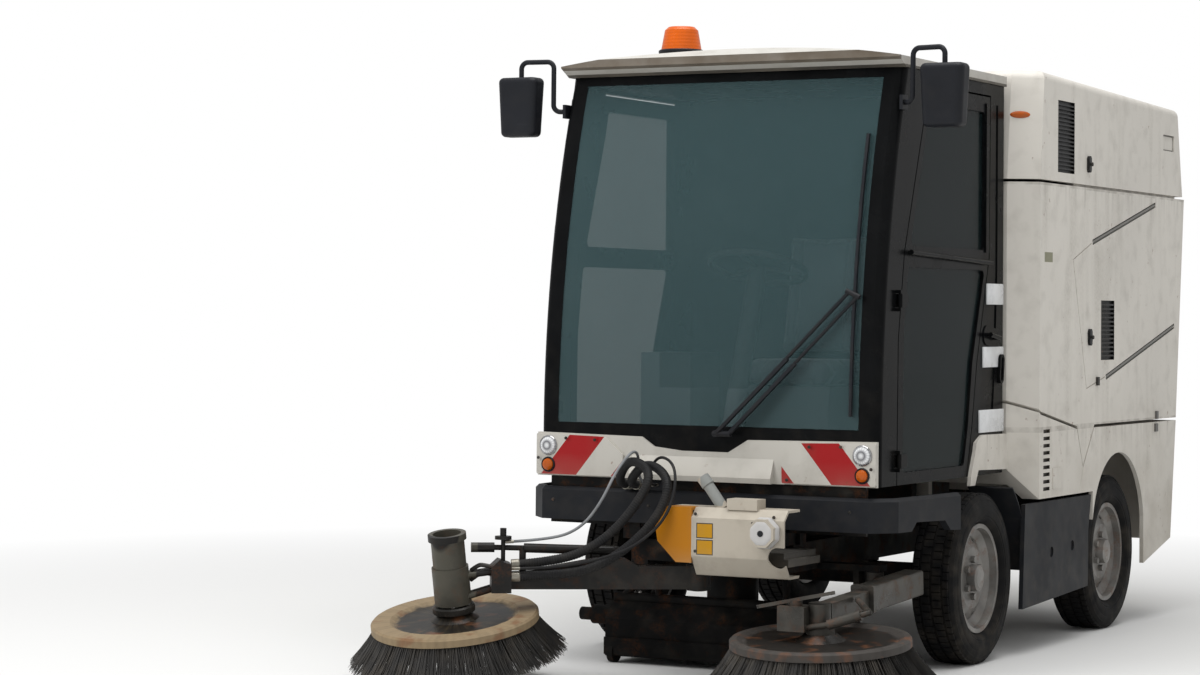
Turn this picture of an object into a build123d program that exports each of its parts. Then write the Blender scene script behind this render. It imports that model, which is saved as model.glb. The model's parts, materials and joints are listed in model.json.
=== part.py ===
from build123d import *
import math
import os

os.makedirs("parts", exist_ok=True)

# Street sweeper truck. Drawn in mm from the front axle: it faces -Y, its left side is +X, Z is up from
# the ground. On export everything moves forward by ORIGIN_BACK, so the origin lies under the box centre.
ORIGIN_BACK = 265.0

# Running gear
WHEELBASE = 1690.0
TYRE_R = 368.0
TYRE_WIDTH = 205.0
TYRE_OUT = 893.0
RIM_R = 235.0
BEAD_R = 222.0
RIM_WIDTH = 154.0
WHEEL_MID = TYRE_OUT - TYRE_WIDTH / 2
KINGPIN_X = 640.0
KINGPIN_R = 15.0
SPINDLE_R = 30.0
RUN_FIT = 0.05
AXLE_Z = TYRE_R

# Chassis
RAIL_X = 340.0
RAIL_WIDTH = 80.0
RAIL_LOW = 430.0
RAIL_TOP = 550.0
RAIL_FRONT = -850.0
RAIL_REAR = 2470.0

# Cab
CAB_HALF = 790.0
CAB_WALL = 40.0
CAB_FRONT = -925.0
CAB_REAR = 480.0
CAB_FLOOR = 800.0
CAB_TOP = 2530.0
SILL_Z = 1020.0
SCREEN_HALF = 700.0
SCREEN_LOW = 1030.0
SCREEN_TOP = 2490.0
SCREEN_THICK = 6.0
DOOR_GAP = 8.0
DOOR_THICK = 38.0
GLASS_THICK = 5.0
BEACON_X = -400.0
BEACON_Y = -380.0
BEACON_Z = 2628.0
BEACON_R = 100.0
SEAT_FIT = 0.3

# Rear body: a tipping hopper over fixed lower panels, parted by one seam along each side
BODY_HALF = 930.0
BODY_WALL = 40.0
BODY_FRONT = 500.0
BODY_CHAMFER = 130.0
BODY_CHAMFER_LENGTH = 75.0
BODY_END = 2900.0
BULKHEAD_Y = 1105.0
BODY_LOW = 680.0
BODY_TOP = 2105.0
HOPPER_LOW = 991.0
SEAM_HALF = 7.0
TAIL_TOP_Y = 2715.0
TAIL_LOW_Y = 2590.0
TAIL_THICK = 39.0
LID_LOW = 2118.0
LID_TOP_FRONT = 2611.0
LID_TOP_REAR = 2562.0
LID_LEAN = 50.0
LID_REAR_LOW = 2685.0
LID_REAR_TOP = 2598.0
LID_ROUND = 38.0

# Brushes and arms
BRUSH_OUT = 1195.0
SIDE_BRUSH_R = 360.0
SIDE_BRUSH_Y = -1330.0
SIDE_BRUSH_Z = 232.0
SIDE_TILT = 4.3
ARM_BRUSH_R = 342.0
ARM_TILT = 11.3
ARM_BRUSH_Z = 268.0
PIVOT_X = 100.0
PIVOT_Y = -1170.0
BOOM_ANGLE = 33.9
BOOM_Z = 422.0
BOOM_LENGTH = 994.0
BRUSH_FLARE = 120.0
HOSE_BLOCK_Y = -950.0

# Flank details
GRILLE_DEEP = 14.0
SLAT_SHARE = 0.2
GRIP_HIGH = 78.0
GRIP_WIDE = 34.0
GRIP_PROUD = 14.0


def box(x0, x1, y0, y1, z0, z1, mode=Mode.ADD):
    with Locations(((x0 + x1) / 2, (y0 + y1) / 2, (z0 + z1) / 2)):
        Box(x1 - x0, y1 - y0, z1 - z0, mode=mode)


def rod(start, end, radius, mode=Mode.ADD):
    a, b = Vector(*start), Vector(*end)
    with BuildSketch(Plane(origin=a, z_dir=b - a)) as section:
        Circle(radius)
    extrude(section.sketch, amount=(b - a).length, mode=mode)


def plate(side, x0, x1, points, mode=Mode.ADD):
    # a plate standing along the vehicle, its outline given as (y, z), mirrored by side
    with BuildSketch(Plane.YZ.offset(side * x0)) as outline:
        Polygon(*points, align=None)
    extrude(outline.sketch, amount=side * (x1 - x0), mode=mode)


def groove(points, width, depth, half):
    # a shallow line cut into both flanks
    for flank in (1, -1):
        with BuildSketch(Plane.YZ.offset(flank * half)) as line:
            with BuildLine():
                Polyline(*points)
            trace(line_width=width)
        extrude(line.sketch, amount=-flank * depth, mode=Mode.SUBTRACT)


def grille(y0, y1, z0, z1, count, half):
    # a pocket in both flanks with level slats across it
    pitch = (z1 - z0) / count
    for flank in (1, -1):
        box(*sorted((flank * (half - GRILLE_DEEP), flank * (half + 1))), y0, y1, z0, z1, mode=Mode.SUBTRACT)
        inner, outer = sorted((flank * (half - GRILLE_DEEP - 1), flank * (half - 2)))
        for i in range(1, count):
            z = z0 + i * pitch
            box(inner, outer, y0 - 1, y1 + 1, z - SLAT_SHARE * pitch, z + SLAT_SHARE * pitch)


def grip(y, z, half):
    # an upright oval handle on both flanks
    for flank in (1, -1):
        with BuildSketch(Plane.YZ.offset(flank * (half - 1))) as oval:
            with Locations((y, z)):
                SlotOverall(GRIP_HIGH, GRIP_WIDE, rotation=90)
        extrude(oval.sketch, amount=flank * (GRIP_PROUD + 1))


def save(shape, name):
    shape.label = name
    placed = shape.moved(Location((0, -ORIGIN_BACK, 0)))
    placed.label = name
    export_step(placed, f"parts/{name}.step")


SIDES = (("left", 1), ("right", -1))
CORNERS = (
    # tag, side, axle y
    ("front_left", 1, 0.0),
    ("front_right", -1, 0.0),
    ("rear_left", 1, WHEELBASE),
    ("rear_right", -1, WHEELBASE),
)

# Chassis: two rails, cross members, brackets for the side skirts and the bumper
SKIRT_THICK = 20.0
SKIRT_IN = BODY_HALF - 5 - SKIRT_THICK
TOW_HALF = 60.0
TOW_BORE_R = 20.5
TOW_Y = 2580.0
TOW_Z = 490.0
SIDE_PIVOT = (620.0, -560.0)
ARM_EYE_Z = 385.0
CROSS_Y = (-810.0, 560.0, 1160.0, 2420.0)
OUTRIGGER_Y = (476.0, 1180.0)
with BuildPart() as chassis_frame:
    for side in (1, -1):
        x = side * RAIL_X
        box(x - RAIL_WIDTH / 2, x + RAIL_WIDTH / 2, RAIL_FRONT, RAIL_REAR, RAIL_LOW, RAIL_TOP)
    for y in CROSS_Y:
        box(-RAIL_X, RAIL_X, y - 40, y + 40, RAIL_LOW + 20, RAIL_TOP - 10)
    for y in OUTRIGGER_Y:
        box(-SKIRT_IN, SKIRT_IN, y - 25, y + 25, RAIL_TOP - 5, RAIL_TOP + 50)
    # cab and body rests
    for y in (-800.0, 400.0):
        box(-RAIL_X - 60, RAIL_X + 60, y - 30, y + 30, RAIL_TOP - 5, CAB_FLOOR - SEAT_FIT)
    for y in (1300.0, 2350.0):
        box(-RAIL_X - 60, RAIL_X + 60, y - 30, y + 30, RAIL_TOP - 5, HOPPER_LOW - SEAT_FIT)
    for y in (BODY_FRONT + 20, BULKHEAD_Y - 25):
        box(-RAIL_X - 40, RAIL_X + 40, y - 15, y + 15, RAIL_TOP - 60, BODY_LOW - SEAT_FIT)
    # front bumper mount and rear panel mount
    box(-500, 500, RAIL_FRONT - 75, RAIL_FRONT + 5, 630, 660)
    for side in (1, -1):
        x = side * RAIL_X
        box(x - 40, x + 40, RAIL_FRONT - 75, RAIL_FRONT + 60, RAIL_TOP - 5, 660)
    # front sheet behind the bumper
    box(-CAB_HALF + 55, CAB_HALF - 55, CAB_FRONT + 5, CAB_FRONT + 25, 600, CAB_FLOOR - SEAT_FIT)
    # springs' seats on the axle beams
    for y in (0.0, WHEELBASE):
        for side in (1, -1):
            box(side * RAIL_X - 35, side * RAIL_X + 35, y - 60, y + 60, AXLE_Z + 50, RAIL_LOW + 5)
    # towing eye at the rear
    box(-TOW_HALF, TOW_HALF, RAIL_REAR - 55, TOW_Y, TOW_Z - 20, TOW_Z + 20)
    with Locations((0, TOW_Y, TOW_Z)):
        Cylinder(TOW_HALF, 40)
    with Locations((0, TOW_Y, TOW_Z)):
        Cylinder(TOW_BORE_R, 60, mode=Mode.SUBTRACT)
    # fork for the side brush's arm
    px, py = SIDE_PIVOT
    box(RAIL_X - 30, px + 40, py - 40, py + 40, ARM_EYE_Z + 43, RAIL_LOW + 25)
    box(px - 80, px + 40, py - 40, py + 40, ARM_EYE_Z - 63, ARM_EYE_Z - 43)
    box(px - 80, px - 55, py - 40, py + 40, ARM_EYE_Z - 63, RAIL_LOW + 25)
    with Locations((px, py, ARM_EYE_Z)):
        Cylinder(KINGPIN_R, 110)
save(chassis_frame.part, "chassis_frame")

# Axle beams with an eye for each king pin
EYE_R = 44.0
EYE_HALF = 50.0
with BuildPart() as axle_beams:
    for y in (0.0, WHEELBASE):
        box(-KINGPIN_X, KINGPIN_X, y - 40, y + 40, AXLE_Z - 45, AXLE_Z + EYE_HALF)
        for side in (1, -1):
            with Locations((side * KINGPIN_X, y, AXLE_Z)):
                Cylinder(EYE_R, 2 * EYE_HALF)
            with Locations((side * KINGPIN_X, y, AXLE_Z)):
                Cylinder(KINGPIN_R + RUN_FIT, 2 * EYE_HALF + 20, mode=Mode.SUBTRACT)
save(axle_beams.part, "axle_beams")

# Steering knuckles: a fork over the axle's eye, the king pin, and the wheel's spindle
FORK_GAP = 3.0
FORK_THICK = 22.0
SPINDLE_END = 860.0
HUB_IN = 770.0
for tag, side, axle_y in CORNERS:
    with BuildPart() as knuckle:
        top = AXLE_Z + EYE_HALF + FORK_GAP
        low = AXLE_Z - EYE_HALF - FORK_GAP
        xs = sorted((side * (KINGPIN_X - 30), side * (KINGPIN_X + 75)))
        box(*xs, axle_y - 34, axle_y + 34, top, top + FORK_THICK)
        box(*xs, axle_y - 34, axle_y + 34, low - FORK_THICK, low)
        xs = sorted((side * (KINGPIN_X + 50), side * (KINGPIN_X + 75)))
        box(*xs, axle_y - 34, axle_y + 34, low - FORK_THICK, top + FORK_THICK)
        with Locations((side * KINGPIN_X, axle_y, AXLE_Z)):
            Cylinder(KINGPIN_R, 2 * (EYE_HALF + FORK_GAP) + 10)
        rod((side * (KINGPIN_X + 60), axle_y, AXLE_Z), (side * SPINDLE_END, axle_y, AXLE_Z), SPINDLE_R)
    save(knuckle.part, f"knuckle_{tag}")

# Wheels: rim with dished disc, hub, cap and nuts; tyre with grooves
RIM_OUT = WHEEL_MID + RIM_WIDTH / 2
RIM_IN = WHEEL_MID - RIM_WIDTH / 2
NUT_COUNT = 6
NUT_CIRCLE = 80.0
SLOT_COUNT = 10
SLOT_CIRCLE = 165.0
for tag, side, axle_y in CORNERS:
    spin = Plane(origin=(0, axle_y, AXLE_Z), x_dir=(side, 0, 0), z_dir=(0, -side, 0))
    axis = Axis((0, axle_y, AXLE_Z), (1, 0, 0))
    with BuildPart() as rim:
        with BuildSketch(spin):
            Polygon(
                (RIM_IN, RIM_R), (RIM_IN + 10, RIM_R), (RIM_IN + 12, BEAD_R), (RIM_IN + 40, BEAD_R),
                (RIM_IN + 60, 190), (RIM_OUT - 60, 190), (RIM_OUT - 35, BEAD_R), (RIM_OUT - 12, BEAD_R),
                (RIM_OUT - 10, RIM_R), (RIM_OUT, RIM_R), (RIM_OUT, BEAD_R - 6), (RIM_OUT - 33, BEAD_R - 8),
                (RIM_OUT - 56, 182), (RIM_IN + 58, 182), (RIM_IN + 38, BEAD_R - 8), (RIM_IN, BEAD_R - 6),
                align=None,
            )
        revolve(axis=axis)
        with BuildSketch(spin):
            Polygon(
                (RIM_OUT - 66, 184), (RIM_OUT - 58, 184), (RIM_OUT - 30, 130), (RIM_OUT - 34, 100),
                (RIM_OUT - 34, SPINDLE_R + 28), (RIM_OUT + 2, SPINDLE_R + 26), (RIM_OUT + 8, 40),
                (RIM_OUT + 8, 0), (SPINDLE_END + 4, 0), (SPINDLE_END + 4, SPINDLE_R + RUN_FIT),
                (HUB_IN, SPINDLE_R + RUN_FIT), (HUB_IN, 75), (RIM_OUT - 44, 75), (RIM_OUT - 44, 100),
                (RIM_OUT - 40, 130), align=None,
            )
        revolve(axis=axis)
        face = Plane(origin=(side * (RIM_OUT - 36), axle_y, AXLE_Z), z_dir=(side, 0, 0))
        with BuildSketch(face):
            with PolarLocations(NUT_CIRCLE, NUT_COUNT):
                RegularPolygon(15, 6)
        extrude(amount=20)
        with BuildSketch(Plane(origin=(side * (RIM_OUT - 90), axle_y, AXLE_Z), z_dir=(side, 0, 0))):
            with PolarLocations(SLOT_CIRCLE, SLOT_COUNT, start_angle=18):
                SlotOverall(30, 13, rotation=90)
        extrude(amount=80, mode=Mode.SUBTRACT)
    save(rim.part, f"rim_{tag}")

    with BuildPart() as tyre:
        t_in = TYRE_OUT - TYRE_WIDTH
        with BuildSketch(spin):
            with BuildLine():
                Polyline((RIM_IN + 12, BEAD_R), (RIM_IN + 10, RIM_R), (t_in + 14, RIM_R + 14))
                ThreePointArc((t_in + 14, RIM_R + 14), (t_in, 290), (t_in + 10, TYRE_R - 22))
                Line((t_in + 10, TYRE_R - 22), (t_in + 24, TYRE_R))
                Line((t_in + 24, TYRE_R), (TYRE_OUT - 24, TYRE_R))
                Line((TYRE_OUT - 24, TYRE_R), (TYRE_OUT - 10, TYRE_R - 22))
                ThreePointArc((TYRE_OUT - 10, TYRE_R - 22), (TYRE_OUT, 290), (TYRE_OUT - 14, RIM_R + 14))
                Polyline((TYRE_OUT - 14, RIM_R + 14), (RIM_OUT - 10, RIM_R), (RIM_OUT - 12, BEAD_R))
                Polyline((RIM_OUT - 12, BEAD_R), (RIM_IN + 12, BEAD_R))
            make_face()
        revolve(axis=axis)
        with BuildSketch(spin):
            for x in (-50, 0, 50):
                with Locations((WHEEL_MID + x, TYRE_R)):
                    Rectangle(9, 18)
        revolve(axis=axis, mode=Mode.SUBTRACT)
    save(tyre.part, f"tyre_{tag}")

# Engine, one plain block between the rails
with BuildPart() as engine_block:
    box(-RAIL_X + 20, RAIL_X - 20, 620, 1030, RAIL_TOP + SEAT_FIT, 1300)
save(engine_block.part, "engine_block")

# Cab: a box with a raked, slightly bowed front. The front's curve is given by three points.
SCREEN_BOW = ((CAB_FRONT, SILL_Z), (-863.0, 1760.0), (-670.0, CAB_TOP))


def front_curve(back, low, top):
    # the front's curve moved back, as three points
    return [(y + back, z) for (y, _), z in zip(SCREEN_BOW, (low, SCREEN_BOW[1][1], top))]


def cab_profile(inset):
    with BuildLine() as outline:
        foot, middle, crown = front_curve(inset, SILL_Z, CAB_TOP - inset)
        Polyline(crown, (CAB_REAR - inset, crown[1]), (CAB_REAR - inset, CAB_FLOOR + inset),
                 (foot[0], CAB_FLOOR + inset), foot)
        ThreePointArc(foot, middle, crown)
    make_face(outline.edges())


PILLAR_ROUND = 38.0
DOOR_OUTLINE = (
    (-730, 800), (-722, 1400), (-662, 1760), (-465, 2300), (-425, 2470),
    (310, 2470), (302, 1760), (160, 1300), (104, 1020), (45, 800),
)
PANES = (
    # (y, z) corners of the upper and the lower pane
    ((-600, 1790), (-428, 2290), (-400, 2400), (246, 2400), (246, 1790)),
    ((-672, 850), (-668, 1400), (-625, 1700), (250, 1700), (110, 1300), (60, 1020), (12, 850)),
)
PANE_ROUND = 22.0
DOOR_AXIS_X = CAB_HALF + 14.0
DOOR_AXIS_Y = -742.0
HINGE_Z = (900.0, 1560.0)
HINGE_HALF = 28.0
HINGE_PIN_R = 6.0
HINGE_EYE_R = 11.0
DOOR_IN_X = CAB_HALF - DOOR_THICK
RAIL_LINE = ((-640, 1762), (285, 1734))
PILLAR_PANEL = ((345, 1020), (375, 1330), (395, 1700), (395, 2440), (465, 2440), (465, 1020))
with BuildPart() as cab_shell:
    with BuildSketch(Plane.YZ.offset(-CAB_HALF)):
        cab_profile(0)
    extrude(amount=2 * CAB_HALF)
    front_edges = cab_shell.edges().filter_by(
        lambda e: (e.center().Y < -600 and abs(abs(e.center().X) - CAB_HALF) < 1
                   and e.center().Z > CAB_FLOOR + 10)
    )
    fillet(front_edges, PILLAR_ROUND)
    with BuildSketch(Plane.YZ.offset(-CAB_HALF + CAB_WALL)):
        cab_profile(CAB_WALL)
    extrude(amount=2 * (CAB_HALF - CAB_WALL), mode=Mode.SUBTRACT)
    # windscreen opening
    box(-SCREEN_HALF - SEAT_FIT, SCREEN_HALF + SEAT_FIT, CAB_FRONT - 100, SCREEN_BOW[2][0] + 110,
        SCREEN_LOW - SEAT_FIT, SCREEN_TOP + SEAT_FIT, mode=Mode.SUBTRACT)
    for side in (1, -1):
        # door opening
        with BuildSketch(Plane.YZ.offset(side * (CAB_HALF - CAB_WALL - 10))):
            Polygon(*DOOR_OUTLINE, align=None)
            offset(amount=DOOR_GAP, kind=Kind.INTERSECTION)
        extrude(amount=side * (CAB_WALL + 30), mode=Mode.SUBTRACT)
        # shallow panel on the rear pillar, with a grab ring
        plate(side, CAB_HALF - 1, CAB_HALF + 5, PILLAR_PANEL)
        with BuildSketch(Plane.YZ.offset(side * (CAB_HALF + 4))):
            with Locations((425, 1265)):
                SlotOverall(130, 52, rotation=84)
                SlotOverall(106, 28, rotation=84, mode=Mode.SUBTRACT)
        extrude(amount=side * 16)
        # pull bar on a rounded plate beside the door
        with BuildSketch(Plane.YZ.offset(side * (CAB_HALF - 1))):
            with Locations((322, 1408)):
                SlotOverall(176, 88, rotation=-8)
        extrude(amount=side * 6)
        rod((side * (CAB_HALF + 26), 262, 1418), (side * (CAB_HALF + 26), 382, 1401), 10)
        for y, z in ((270, 1417), (374, 1402)):
            rod((side * CAB_HALF, y, z), (side * (CAB_HALF + 26), y, z), 8)
        # door hinges: a pin between two lugs
        for z in HINGE_Z:
            for low in (z - HINGE_HALF - 16, z + HINGE_HALF + 2):
                lug_in, lug_out = sorted((side * (CAB_HALF - 5), side * (DOOR_AXIS_X + 8)))
                box(lug_in, lug_out, DOOR_AXIS_Y - 12, DOOR_AXIS_Y + 8, low, low + 14)
            rod((side * DOOR_AXIS_X, DOOR_AXIS_Y, z - HINGE_HALF - 10),
                (side * DOOR_AXIS_X, DOOR_AXIS_Y, z + HINGE_HALF + 10), HINGE_PIN_R)
save(cab_shell.part, "cab_shell")

with BuildPart() as windscreen:
    with BuildSketch(Plane.YZ.offset(-SCREEN_HALF)):
        with BuildLine() as outline:
            foot, middle, crown = front_curve(0, SILL_Z, CAB_TOP)
            ThreePointArc(foot, middle, crown)
            back_foot, back_middle, back_crown = front_curve(SCREEN_THICK, SILL_Z, CAB_TOP)
            Line(crown, back_crown)
            ThreePointArc(back_crown, back_middle, back_foot)
            Line(back_foot, foot)
        make_face()
    extrude(amount=2 * SCREEN_HALF)
    box(-CAB_HALF, CAB_HALF, CAB_FRONT - 100, 0, SCREEN_LOW, SCREEN_TOP, mode=Mode.INTERSECT)
save(windscreen.part, "windscreen")

# Roof cap: a low crown with a visor lip over the windscreen, and a pad for the beacon
ROOF_HALF = CAB_HALF + 10.0
ROOF_EDGE_Z = 2575.0
ROOF_CROWN_Z = 2636.0
VISOR_Y = -755.0
BEACON_PAD = 24.0
with BuildPart() as cab_roof:
    with BuildSketch(Plane.XZ.offset(-VISOR_Y)):
        with BuildLine():
            Polyline(
                (-ROOF_HALF, ROOF_EDGE_Z), (-ROOF_HALF, CAB_TOP + SEAT_FIT),
                (ROOF_HALF, CAB_TOP + SEAT_FIT), (ROOF_HALF, ROOF_EDGE_Z),
            )
            ThreePointArc((ROOF_HALF, ROOF_EDGE_Z), (0, ROOF_CROWN_Z), (-ROOF_HALF, ROOF_EDGE_Z))
        make_face()
    extrude(amount=-(CAB_REAR + 8 - VISOR_Y))
    # visor: the underside rises to the lip, the top falls to it
    under_lip = ((VISOR_Y - 1, CAB_TOP - 5), (VISOR_Y - 1, CAB_TOP + 38), (-672, CAB_TOP - 5))
    over_lip = ((VISOR_Y - 1, CAB_TOP + 70), (VISOR_Y - 1, 2660), (-560, 2660))
    for wedge in (under_lip, over_lip):
        plate(1, -ROOF_HALF - 1, ROOF_HALF + 1, wedge, mode=Mode.SUBTRACT)
    with Locations((BEACON_X, BEACON_Y, CAB_TOP + 20)):
        Cylinder(BEACON_R + 4, BEACON_Z - CAB_TOP - 20, align=(Align.CENTER, Align.CENTER, Align.MIN))
    with Locations((BEACON_X, BEACON_Y, BEACON_Z)):
        Cylinder(BEACON_R, BEACON_PAD, align=(Align.CENTER, Align.CENTER, Align.MIN))
save(cab_roof.part, "cab_roof")

for name, side in SIDES:
    with BuildPart() as door:
        with BuildSketch(Plane.YZ.offset(side * DOOR_IN_X)):
            Polygon(*DOOR_OUTLINE, align=None)
        extrude(amount=side * DOOR_THICK)
        for corners in PANES:
            with BuildSketch(Plane.YZ.offset(side * (DOOR_IN_X - 5))) as window:
                Polygon(*corners, align=None)
                fillet(window.vertices(), PANE_ROUND)
            extrude(amount=side * (DOOR_THICK + 10), mode=Mode.SUBTRACT)
        # channel of the sliding pane, and a frame round the lower pane's foot
        plate(side, CAB_HALF - 1, CAB_HALF + 7, ((252, 1780), (252, 2440), (288, 2440), (288, 1780)))
        # hinge eyes
        axis_x = side * DOOR_AXIS_X
        for z in HINGE_Z:
            low, high = z - HINGE_HALF, z + HINGE_HALF
            box(*sorted((side * (CAB_HALF + 5), side * (DOOR_AXIS_X + 4))), DOOR_AXIS_Y, -665, low, high)
            box(*sorted((side * (CAB_HALF - 5), side * (DOOR_AXIS_X + 4))), -690, -665, low, high)
            rod((axis_x, DOOR_AXIS_Y, low), (axis_x, DOOR_AXIS_Y, high), HINGE_EYE_R)
            rod((axis_x, DOOR_AXIS_Y, low - 5), (axis_x, DOOR_AXIS_Y, high + 5), HINGE_PIN_R + RUN_FIT,
                mode=Mode.SUBTRACT)
        # rail across the door under the upper pane, on three feet
        (y0, z0), (y1, z1) = RAIL_LINE
        rod((side * (CAB_HALF + 20), y0, z0), (side * (CAB_HALF + 20), y1, z1), 11)
        for share in (0.06, 0.5, 0.94):
            y = y0 + share * (y1 - y0)
            z = z0 + share * (z1 - z0)
            rod((side * (CAB_HALF - 2), y, z), (side * (CAB_HALF + 20), y, z), 8)
    save(door.part, f"door_{name}")
    with BuildPart() as door_glass:
        for corners in PANES:
            with BuildSketch(Plane.YZ.offset(side * (CAB_HALF - 12))) as window:
                Polygon(*corners, align=None)
                fillet(window.vertices(), PANE_ROUND)
            extrude(amount=-side * GLASS_THICK)
    save(door_glass.part, f"door_glass_{name}")

# White front panel: a V dip for the wiper's gear cover, two raised lamp panels, a sloping middle
FASCIA_FRONT = -955.0
FASCIA_LOW = 800.0
FASCIA_TOP = 985.0
LAMP_PANEL = ((370, 898), (455, 972), (CAB_HALF, 980), (CAB_HALF, FASCIA_LOW + 5), (372, FASCIA_LOW + 5))
with BuildPart() as front_fascia:
    with BuildSketch(Plane.XZ.offset(-CAB_FRONT + SEAT_FIT)):
        Polygon(
            (-CAB_HALF, FASCIA_LOW), (-CAB_HALF, FASCIA_TOP), (-290, FASCIA_TOP - 8), (-230, FASCIA_TOP - 48),
            (-100, FASCIA_TOP - 62), (120, FASCIA_TOP - 62), (210, FASCIA_TOP - 8), (CAB_HALF, FASCIA_TOP),
            (CAB_HALF, FASCIA_LOW), align=None,
        )
    extrude(amount=CAB_FRONT - SEAT_FIT - FASCIA_FRONT - 12)
    for side in (1, -1):
        with BuildSketch(Plane.XZ.offset(-FASCIA_FRONT - 13)) as panel:
            Polygon(*[(side * x, z) for x, z in LAMP_PANEL], align=None)
            fillet(panel.vertices(), 8)
        extrude(amount=13)
    # the middle slopes out to its lower edge
    plate(1, -330, 330, ((FASCIA_FRONT + 14, 905), (FASCIA_FRONT - 22, FASCIA_LOW + 22),
                         (FASCIA_FRONT - 18, FASCIA_LOW), (FASCIA_FRONT + 14, FASCIA_LOW)))
save(front_fascia.part, "front_fascia")

LAMP_X = 731.0
LAMPS = (
    # height, radius, depth
    (929.0, 39.0, 16.0),
    (847.0, 28.0, 18.0),
)
with BuildPart() as front_lamps:
    for side in (1, -1):
        for z, radius, depth in LAMPS:
            with BuildSketch(Plane.XZ.offset(-FASCIA_FRONT)):
                with Locations((side * LAMP_X, z)):
                    Circle(radius)
            extrude(amount=depth, taper=12)
save(front_lamps.part, "front_lamps")

# Bumper wraps round to the wheels, its lower edge stepped beside them, its upper edge bevelled
BUMPER_LOW = 615.0
BUMPER_TOP = 755.0
BUMPER_THICK = 30.0
BUMPER_PATH = (
    # corners of its outline from above, on the left
    (CAB_HALF - 30, FASCIA_FRONT), (BODY_HALF - 80, -855), (BODY_HALF - 25, -310),
)
BUMPER_UNDER = (
    (-1000, 500), (-1000, BUMPER_LOW), (-740, BUMPER_LOW), (-700, 651), (-450, 645), (-400, 602), (-290, 598),
    (-290, 500),
)
with BuildPart() as bumper:
    with BuildSketch(Plane.XY.offset(BUMPER_LOW - 90)):
        with BuildLine():
            Polyline(*([(-x, y) for x, y in reversed(BUMPER_PATH)] + list(BUMPER_PATH)))
            offset(amount=BUMPER_THICK, side=Side.LEFT, kind=Kind.INTERSECTION)
        make_face()
    extrude(amount=BUMPER_TOP - BUMPER_LOW + 90)
    plate(1, -BODY_HALF, BODY_HALF, BUMPER_UNDER, mode=Mode.SUBTRACT)
    top_face = bumper.faces().sort_by(Axis.Z)[-1]
    outer_edges = top_face.edges().filter_by(lambda e: any(
        abs(abs(e.center().X) - (a[0] + b[0]) / 2) < 2 and abs(e.center().Y - (a[1] + b[1]) / 2) < 2
        for a, b in zip(BUMPER_PATH, BUMPER_PATH[1:])) or (abs(e.center().X) < 1 and e.center().Y < -950))
    chamfer(outer_edges, 14)
    # block that the brush hoses come out of
    box(-360, -180, HOSE_BLOCK_Y, -924, BUMPER_TOP - 2, FASCIA_LOW - 2)
save(bumper.part, "bumper")

# Inside the cab: dash shelf, console, column and steering wheel, seat base
STEER_HUB = (0.0, -415.0, 1700.0)
STEER_R = 210.0
STEER_RAKE = 18.0
with BuildPart() as cab_controls:
    floor = CAB_FLOOR + CAB_WALL + SEAT_FIT
    shelf = ((-860, floor), (-860, 985), (-830, 1005), (-720, 990), (-690, 900), (-690, floor))
    plate(1, -SCREEN_HALF + 10, SCREEN_HALF - 10, shelf)
    box(-420, -180, -700, -420, floor, 1330)
    plate(1, -200, 200, ((-130, floor), (-90, 1180), (330, 1180), (380, floor)))
    hub = Vector(*STEER_HUB)
    lean = math.radians(STEER_RAKE)
    wheel_axis = Vector(0, math.sin(lean), math.cos(lean))
    rod((0, -705, floor + 60), tuple(hub - wheel_axis * 40), 42)
    rod(tuple(hub - wheel_axis * 45), tuple(hub), 34)
    with BuildSketch(Plane(origin=STEER_HUB, x_dir=(1, 0, 0), z_dir=(0, -math.cos(lean), math.sin(lean)))):
        with Locations((STEER_R, 0)):
            Circle(14)
    revolve(axis=Axis(STEER_HUB, tuple(wheel_axis)))
    wheel_across = Vector(1, 0, 0)
    wheel_along = Vector(0, math.cos(lean), -math.sin(lean))
    for turn in (0, 120, 240):
        a = math.radians(turn - 90)
        tip = hub + wheel_across * (math.cos(a) * STEER_R) + wheel_along * (math.sin(a) * STEER_R)
        rod(STEER_HUB, tuple(tip), 10)
save(cab_controls.part, "cab_controls")

with BuildPart() as backrest:
    with BuildSketch(Plane.YZ.offset(-220)):
        Polygon((310, 1300 + SEAT_FIT), (410, 1900), (320, 1900), (205, 1300 + SEAT_FIT), align=None)
    extrude(amount=440)
    fillet(backrest.edges().filter_by(lambda e: e.center().Z > 1310), 28)

with BuildPart() as seat:
    box(-230, 230, -150, 330, 1180 + SEAT_FIT, 1300)
    fillet(seat.edges(), 30)
    add(backrest.part)
save(seat.part, "seat")

# Mirrors: rounded heads on bent tube arms
MIRROR_X = 1000.0
MIRROR_LOW = 2270.0
MIRROR_TOP = 2532.0
ARM_TUBE_R = 11.0
with BuildPart() as mirror_head:
    with BuildSketch(Plane.XY.offset(MIRROR_LOW)):
        with Locations((MIRROR_X, -755)):
            RectangleRounded(170, 96, 30)
    with BuildSketch(Plane.XY.offset(MIRROR_TOP)):
        with Locations((MIRROR_X, -755)):
            RectangleRounded(196, 112, 34)
    loft()
    fillet(mirror_head.faces().filter_by(Axis.Z).edges(), 22)
with BuildPart() as mirrors:
    for side in (1, -1):
        add(mirror_head.part if side > 0 else mirror_head.part.mirror(Plane.YZ))
        box(*sorted((side * (CAB_HALF + SEAT_FIT), side * (CAB_HALF + 14))), -730, -670, 2350, 2410)
        with BuildLine() as arm:
            FilletPolyline(
                (side * (CAB_HALF + 6), -700, 2380), (side * 850, -730, 2380), (side * 850, -730, 2600),
                (side * MIRROR_X, -755, 2600), (side * MIRROR_X, -755, MIRROR_TOP - 10), radius=30,
            )
        with BuildSketch(Plane(origin=arm.line @ 0, z_dir=arm.line % 0)) as tube:
            Circle(ARM_TUBE_R)
        sweep(sections=tube.sketch, path=arm.line)
save(mirrors.part, "mirrors")

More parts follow.
